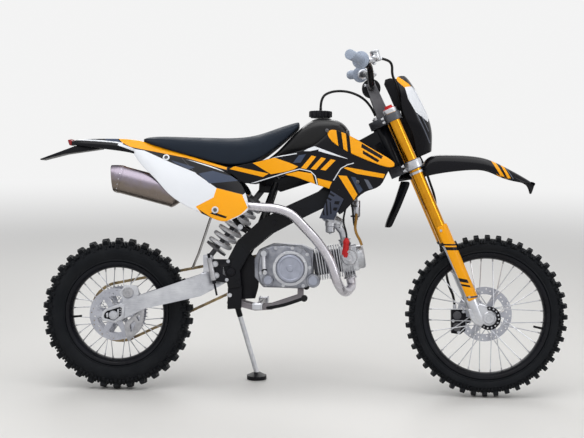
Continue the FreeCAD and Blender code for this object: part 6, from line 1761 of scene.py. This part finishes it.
CARRIER = (
    (22, 26), (14, 50), (24, 72), (8, 90), (-8, 101), (-30, 110), (-50, 112), (-64, 106), (-70, 90),
    (-68, 68), (-56, 46), (-38, 28), (-14, 22),
)
lowers = []
for side in (-1, 1):
    y = side * LEG
    sleeve = ((16.6, -60), (21, -60), (23, -52), (23, 22), (21, 27), (16.6, 28))
    lowers.append(on_fork(on_leg(sleeve, 40, y, 24)))
    lowers.append(on_fork(on_leg(((0, -4), (16.5, -4), (16.5, 396), (0, 396)), 36, y, 24)))
    outline = [(steer(a, b).x, steer(a, b).z) for a, b in CARRIER]
    lowers.append(plate(outline, y - side * 17, y + side * 20, 6, segments=4))
    axle_boss = ((10, 0), (21, 0), (21, 9), (19, 11), (10.4, 11))
    lowers.append(lathed(axle_boss, 36, (FRONT_AXLE.x, y + side * 12, FRONT_AXLE.z), (0, side, 0)))
finish_piece(lowers, "fork_lowers_cast", "steering", "bright", "fork_lowers")
pins = []
for side in (-1, 1):
    for drop in (8, 24):
        foot = steer(-64, 104 - drop)
        pins.append(bolt(foot + Vector((0, side * (LEG - 2), 0)), -UP_FORK, 8, 5))
finish_piece(pins, "axle_pinch_bolts", "steering", "hub")

guard_row = (
    (-12, -27.6), (-3, -30), (12, -28), (24, -19), (30, 0), (24, 19), (12, 28), (0, 29.8),
)
sections = []
for height, size in ((44, 1), (50, 1), (150, 1), (270, 1), (318, 1), (324, 0.98)):
    sections.append([(FORK_AHEAD + x * size, -LEG + y * size, height) for x, y in guard_row])
guards = on_fork(both_sides(skin(sections, thickness=2.6)))
moulded(guards, "fork_guards_moulded", "steering", "guard_film", "fork_guards", slot="yellow")
screws = []
for side in (-1, 1):
    for height in (58, 308):
        screws.append(button((FORK_AHEAD - 2, side * (LEG + 29.4), height), (0, side, 0), 5, 3))
finish_piece(on_fork(joined(*screws)), "guard_screws", "steering", "bright")


def round_front_axle(radius, degrees):
    """A point in the side view round the front axle, so many degrees up from straight ahead."""
    angle = math.radians(degrees)
    return FRONT_AXLE.x + radius * math.cos(angle), FRONT_AXLE.z + radius * math.sin(angle)


ring_outline = [round_front_axle(41, turn_by) for turn_by in range(100, -131, -10)]
ring_outline += [round_front_axle(27, turn_by) for turn_by in range(-130, 101, 10)]
ring_holes = [(*round_front_axle(34, turn_by), 3.2, 12) for turn_by in range(88, -130, -23)]
ring_plate = plate(ring_outline, -LEG - 21.3, -LEG - 24.8, 0, ring_holes)
finish_piece(ring_plate, "axle_ring_drilled", "steering", "black_matt", "axle_ring")
softened("front_spindle", "steering", "bright", 1)
tell("fork")

# %% [markdown]
# The caliper grips the disc from the left leg. Its body is cast, with a bulge for each piston, a bridge over
# the disc and pad pins. The rear one hangs above its axle in the same way.

# %% Calipers
softened("front_caliper", "steering", "black_matt", 2.5, 3)
middle = FRONT_AXLE + Vector((-96, 0, -26))
cups, pins = [], []
for x, z in ((-2, 20), (-2, -22)):
    for side, y in ((-1, 47.5), (1, 81.5)):
        cups.append(moved(
            spun(((0, -3), (15, -3), (15, 0.6), (13, 2.4), (6, 2.6), (5, 1.4), (0, 1.4)), 28),
            along((middle.x + x, y, middle.z + z), (0, side, 0)),
        ))
for x, z in ((-16, 0), (20, 34), (4, -40)):
    pins.append(bolt((middle.x + x, 48, middle.z + z), (0, -1, 0), 7, 3))
finish_piece(cups, "front_caliper_cups", "steering", "grey_metal")
finish_piece(pins, "front_caliper_pins", "steering", "bright")

softened("rear_caliper", "root", "bright", 3, 3)
middle = REAR_AXLE + Vector((52, 0, 72))
cups, pins = [], []
cups.append(moved(
    spun(((0, -4), (20, -4), (20, 3), (17.5, 5.6), (7, 6), (6, 4.4), (0, 4.4)), 36),
    along((middle.x - 6, -77.6, middle.z + 6), (0, -1, 0)),
))
pins.append(rod((middle.x + 26, -80, middle.z + 4), (middle.x + 26, -66, middle.z + 4), 6, 7, 20))
for x, z in ((22, 20), (-28, 8)):
    pins.append(bolt((middle.x + x, -77.4, middle.z + z), (0, -1, 0), 8, 3))
finish_piece(cups, "rear_caliper_cup", "root", "hub")
finish_piece(pins, "rear_caliper_pins", "root", "bright")
tell("calipers")

# %% [markdown]
# The bar is a bent tube held in a pair of risers, under a round foam pad. Each grip has raised ribs and a
# flange. The perches carry the levers, and the throttle housing and the reservoir sit on the right.

# %% Handlebar, grips and levers
BAR = steer(863.9, 24)
BAR_END = BAR + Vector((-75, -385, 82))
BAR_BEND = BAR + Vector((-8, -190, 68))
BAR_WAY = (BAR_BEND - BAR_END).normalized()
LEVER_AT = BAR_END + BAR_WAY * 133
to_bar = along(BAR_END, BAR_WAY)

pad = ((11.4, -33), (30, -33), (32.5, -31), (33, -27), (33, 27), (32.5, 31), (30, 33), (11.4, 33))
finish_piece(lathed(pad, 40, BAR, (0, 1, 0)), "bar_pad_foam", "steering", "foam", "bar_pad")
clamps = []
for side in (-1, 1):
    for x in (-16, 14):
        clamps.append(bolt(steer(878, 24 + x, side * 45), UP_FORK, 7, 5))
finish_piece(clamps, "riser_bolts", "steering", "bright")

grip_profile = [(0, -5), (12, -5), (16.4, -4), (17.4, -2), (17.4, 3)]
for k in range(9):
    start = 8 + k * 10
    grip_profile += [(15.8, start), (17, start + 2.2), (17, start + 6.4), (15.8, start + 8.6)]
grip_profile += [
    (17, 101), (28.5, 106.6), (30, 108.5), (30, 110.5), (28.5, 112), (11.4, 112), (11.4, -1), (0, -1),
]
grips = both_sides(moved(spun(grip_profile, 36), to_bar))
finish_piece(grips, "grips_ribbed", "steering", "grip", "grips")

throttle = spun(((11.4, 113), (20, 113), (25, 115), (25, 128), (21, 130), (11.4, 130)), 36)
root = LEVER_AT + Vector((20, 0, 0))
perch = moved(spun(((11.4, 134), (17, 134), (19, 136), (19, 144), (17, 146), (11.4, 146)), 32), to_bar)
holder = rounded(rod(LEVER_AT + Vector((10, 0, 2)), root + Vector((22, 0, 4)), 10, steps=24), 2, 2)
blade = pipe([root + Vector(step) for step in (
    (18, 6, 4), (28, -16, 4), (30, -44, 4), (24, -92, 2), (16, -134, 0),
)], 5.2, 12)
tip = bmesh.new()
tip_place = Matrix.Translation(root + Vector((16, -134, 0)))
bmesh.ops.create_uvsphere(tip, u_segments=16, v_segments=10, radius=7, matrix=tip_place)
pivot = joined(
    bolt(root + Vector((18, 0, 13)), (0, 0, 1), 9, 3), bolt(root + Vector((18, 0, -8)), (0, 0, -1), 9, 3),
)
lever = joined(perch, holder, blade, tip, pivot)
finish_piece(both_sides(lever), "hand_levers_forged", "steering", "bright", "hand_levers")
cup_start = root + Vector((27, 8, 0))
cup_way = (root + Vector((17, 8, 38)) - cup_start).normalized()
cup = ((0, 0), (14, 0), (16, 3), (16, 28), (14.6, 29), (0, 29))
finish_piece(lathed(cup, 32, cup_start, cup_way), "brake_reservoir", "steering", "bright")
lid = ((0, 29.2), (15.4, 29.2), (16.2, 31), (16.2, 36), (14.8, 38), (0, 38))
finish_piece(lathed(lid, 32, cup_start, cup_way), "reservoir_lid", "steering", "head_alloy", slot="bright")
finish_piece(moved(throttle, to_bar), "throttle_housing", "steering", "black_matt")
switch_place = to_bar @ Vector((0, 158, 0))
switch = moved(rounded(spun(((11.4, 151), (19, 151), (19, 169), (11.4, 169)), 24), 1.5, 2), to_bar)
finish_piece(switch, "stop_switch", "steering", "black_matt")
knob_up = Vector((-0.25, -0.1, 0.96)).normalized()
button_red = lathed(((0, 0), (6.5, 0), (6.5, 5), (5, 7), (0, 7)), 20, switch_place + knob_up * 17, knob_up)
finish_piece(button_red, "stop_button", "steering", "red_cap", slot="red_lamp")
tell("handlebar, grips and levers")

# %% [markdown]
# The number board is a bowed shell that leans back with the fork, held by two stays and a plate in the middle
# that lets the brake hose through. The front fender is a long beak over the tyre, raised behind the
# tip, with a flap that turns down behind the wheel. Both are smooth mouldings.

# %% Number board and front fender
FRONT_PLASTIC = 3.4
FINISHES["mask_film"] = painted("number board film", DARK, [
    (YELLOW, [(972, 1132), (1000, 1128), (1024, 1100), (1036, 1092), (1009, 1085), (984, 1108)]),
    (
        WHITE,
        [(1009, 1087), (1034, 1092), (1066, 1064), (1102, 1010), (1094, 968), (1049, 1000), (1022, 1044)],
    ),
    *stripe((0.42, 0.45, 0.54), 2, (1036, 1090), (1088, 1000)),
    *stripe(MID_GREY, 4, (1053, 994), (1082, 938), (1103, 894)),
    *stripe(MID_GREY, 3, (1070, 988), (1097, 935)),
])
FINISHES["beak_film"] = painted("beak film", DARK, [
    (YELLOW, [(1313, 842), (1326, 842), (1364, 780), (1352, 780)]),
    (YELLOW, [(1344, 834), (1354, 832), (1387, 774), (1376, 774)]),
    *stripe(MID_GREY, 3, (1362, 824), (1396, 772)),
])

LOWER_CLAMP = 556
MASK_ROWS = (
    # height over the lower clamp; ahead of the stem: front and back edge; half width
    (309, 143, 122, 34), (304, 151, 117, 47), (290, 158, 113, 60), (262, 164, 112, 75), (236, 168, 104, 84),
    (196, 170, 90, 90), (160, 172, 87, 88), (128, 172, 91, 80), (84, 165, 90, 62), (50, 150, 80, 51),
    (30, 140, 76, 46), (17, 134, 74, 43),
)
sections = []
for over, front, back, half in MASK_ROWS:
    deep = front - back
    right = (
        (back, -half), (back + deep * 0.34, -half * 0.97), (back + deep * 0.64, -half * 0.84),
        (back + deep * 0.88, -half * 0.54), (back + deep * 0.985, -half * 0.2),
    )
    sections.append(mirrored([steer(LOWER_CLAMP + over, a, y) for a, y in right]))
moulded(
    skin(sections, thickness=FRONT_PLASTIC), "front_mask_moulded", "steering", "mask_film", "front_mask",
    slot="black_plastic",
)
stays = []
for side in (-1, 1):
    stays.append(pipe([steer(height, forward, side * 22) for height, forward in (
        (573.4, 62), (592, 78), (616, 104),
    )], 5, 10))
finish_piece(stays, "mask_stays", "steering", "black_matt")
BRACKET = (
    # ahead of the stem, height over the lower clamp: a plate in the middle
    (58, 46), (112, 40), (138, 90), (150, 160), (150, 230), (136, 284), (120, 304), (100, 316), (82, 318),
    (72, 304), (74, 262), (74, 150), (64, 110),
)
outline = [(steer(LOWER_CLAMP + over, a).x, steer(LOWER_CLAMP + over, a).z) for a, over in BRACKET]
hose_hole = steer(LOWER_CLAMP + 181, 95)
finish_piece(
    plate(outline, -5, 5, 1.5, [(hose_hole.x, hose_hole.z, 15, 24)]), "mask_bracket", "steering",
    "black_matt",
)

UNDER = steer(LOWER_CLAMP_LOW)
FRONT_FENDER_ROWS = (
    # ahead of the lower clamp's underside; top and edge above it; half width
    (-8, -4, -22, 46), (20, 10, -17, 48), (48, 22, -12, 50), (66, 26, -9, 53), (76, 40, -7, 54.5),
    (88, 62, -2, 56), (111, 74, 4, 58), (160, 76, 14, 61), (222, 74, 22, 62), (262, 71, 25, 61.5),
    (297, 65, 24, 60), (330, 52, 13, 56), (354, 41, 0, 52), (392, 22, -12, 44), (426, 4, -18, 34),
    (452, -11, -22, 21), (464, -19, -25, 12), (471, -24, -27, 7),
)
sections = []
for x, top, edge, half in FRONT_FENDER_ROWS:
    fall = min(half * 0.35, (top - edge) * 0.6)
    right = (
        (-half, edge), (-half, edge + 2), (-half * 0.985, (edge + top - fall) / 2), (-half + 3, top - fall),
        (-half + fall - 2, top - 3), (-half * 0.34, top + 0.4),
    )
    sections.append(mirrored([(UNDER.x + x, y, UNDER.z + z) for y, z in right]))
moulded(
    skin(sections, thickness=FRONT_PLASTIC), "front_fender_moulded", "steering", "beak_film", "front_fender",
    slot="black_plastic",
)
FLAP_ROWS = (
    # back and front ahead of the lower clamp's underside, height above it; half width
    (-51, -31, -186, 43), (-48, -24, -170, 45), (-36, -10, -138, 47), (-22, 4, -106, 48), (-8, 20, -62, 47.5),
    (4, 38, -20, 46),
)
sections = []
for back, front, height, half in FLAP_ROWS:
    right = (
        (front, -half), (back + (front - back) * 0.4, -half * 0.93), (back, -half * 0.66),
        (back - 1, -half * 0.3),
    )
    sections.append(mirrored([(UNDER.x + a, y, UNDER.z + height) for a, y in right]))
moulded(skin(sections, thickness=FRONT_PLASTIC), "front_flap", "steering", "black_plastic")
screws = []
for side in (-1, 1):
    for x in (10, 44):
        screws.append(button((UNDER.x + x, side * 30, UNDER.z + (8 if x < 20 else 23)), (-0.3, 0, 1), 6, 3))
finish_piece(screws, "fender_screws", "steering", "bright")
tell("number board and front fender")

# %% [markdown]
# Two hoses hang free: the front brake's, from its reservoir behind the number board and down the left leg to
# the caliper, and the tank's vent. A NURBS curve with a round bevel follows the few points of each route, so
# the hose bends as smoothly as rubber does.

# %% Hoses
HOSE_RADIUS = 4.5


def hose(name, body, stands_for, points):
    """A curve along a route of points on the bike, in millimetres. Its length is in metres."""
    data = round_curve(name, [on_bike @ place for place in points], HOSE_RADIUS / 1000, 4, 10)
    data.materials.append(FINISHES["rubber"])
    piece = bpy.data.objects.new(name, data)
    scene.collection.objects.link(piece)
    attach(piece, body)
    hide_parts(stands_for)
    return piece


hose_start = LEVER_AT + Vector((50.2, 8, 12))
hose_end = FRONT_AXLE + Vector((-106, 72, 18))
hose("brake_hose_curve", "steering", "brake_hose", [
    hose_start, hose_start + Vector((30, 10, -3.5)), hose_start + Vector((50, 36, -15.5)),
    steer(870, 102, -LEG - 83), steer(850, 104, -LEG - 40), steer(810, 104, -LEG + 25), steer(762, 98, -24),
    steer(716, 92, 20), steer(668, 82, LEG - 29), steer(610, 88, LEG - 3), steer(545, 96, LEG + 5),
    steer(480, 90, LEG + 5), steer(415, 86, LEG), steer(360, 62, LEG - 30), steer(305, 40, LEG - 35),
    steer(235, 32, LEG - 35), steer(170, 18, LEG - 32), steer(105, 4, LEG - 25),
    hose_end + Vector((-2, 0, 40)), hose_end,
])

vent_start = Vector((714, 0, 1014.6))
vent_end = steer(768.6)
hose("vent_hose_curve", "root", "vent_hose", [
    vent_start, *(vent_start + Vector(step) for step in ((0, 0, 38), (36, 0, 60), (92, 0, 62), (146, 0, 42))),
    vent_end + UP_FORK * 34, vent_end,
])

# sleeves are pressed on the brake hose at its two ends, and a banjo holds it to the caliper
hose_sleeve = ((0, -1), (6.4, -1), (6.4, 12), (5.2, 14), (0, 14))
ends = [
    lathed(hose_sleeve, 20, hose_start, (30, 10, -3.5)),
    lathed(hose_sleeve, 20, hose_end, (-2, 0, 40)),
    rod(hose_end + Vector((0, -8, -5)), hose_end + Vector((0, 8, -5)), 7, steps=20),
]
finish_piece(ends, "hose_ends", "steering", "bright")
guides = joined(*(
    rod(steer(height - 5, ahead_by, side), steer(height + 5, ahead_by, side), 7.4, steps=16)
    for height, ahead_by, side in ((545, 96, LEG + 5), (235, 32, LEG - 35))
))
finish_piece(guides, "hose_guides", "steering", "black_matt")
tell("hoses")

# %% [markdown]
# The side stand is a tube with a forged fork at its bolt. A black sleeve and a wide flat foot dress it. The
# rear brake's cylinder gets a turned body, its two side bosses and its bolts.

# %% Side stand and small parts of the rear brake
softened("side_stand", "side_stand", "bright", 1)
FOOT_RADIUS = 36
FOOT_HEIGHT = 26
hinge = Vector((412, 104, 316))
to_upright = on_bike.inverted()
foot_on_floor = on_bike @ Vector((488, 200, 0))
foot_on_floor.z = 0
foot = to_upright @ foot_on_floor
foot_up = (to_upright.to_3x3() @ Vector((0, 0, 1))).normalized()
leg_way = (foot + foot_up * (FOOT_HEIGHT - 4) - hinge).normalized()
boot = spun((
    (0, 0.4), (FOOT_RADIUS + 0.6, 0.4), (FOOT_RADIUS + 0.6, 14.6), (FOOT_RADIUS - 2.4, 15.2),
    (11.8, FOOT_HEIGHT + 0.6), (0, FOOT_HEIGHT + 0.6),
), 40)
sleeve = rod(hinge + leg_way * 24, hinge + leg_way * 64, 10.4)
boot = moved(boot, along(foot, foot_up))
finish_piece([boot, sleeve], "stand_foot_and_sleeve", "side_stand", "black_matt")
softened("brake_cylinder", "root", "black_matt", 1.2)
cylinder_parts = [
    rod((336, -114.3, 478), (353, -114.3, 400), 9.5, steps=24),
    rod((357, -104, 457), (357, -115.7, 457), 10.4, steps=24),
    rod((362, -104, 417), (362, -115.7, 417), 10.4, steps=24),
]
finish_piece(cylinder_parts, "brake_cylinder_body", "root", "hub")
softened("disc_guard", "root", "hub", 1)
bolts = []
for x, z in ((357, 457), (362, 417)):
    bolts.append(bolt((x, -115.3, z), (0, -1, 0), 9, 4))
for x, z in ((402, 467), (398, 402)):
    bolts.append(bolt((x, -107.3, z), (0, -1, 0), 8, 4))
finish_piece(bolts, "brake_cylinder_bolts", "root", "bright")
tell("side stand and small parts of the rear brake")
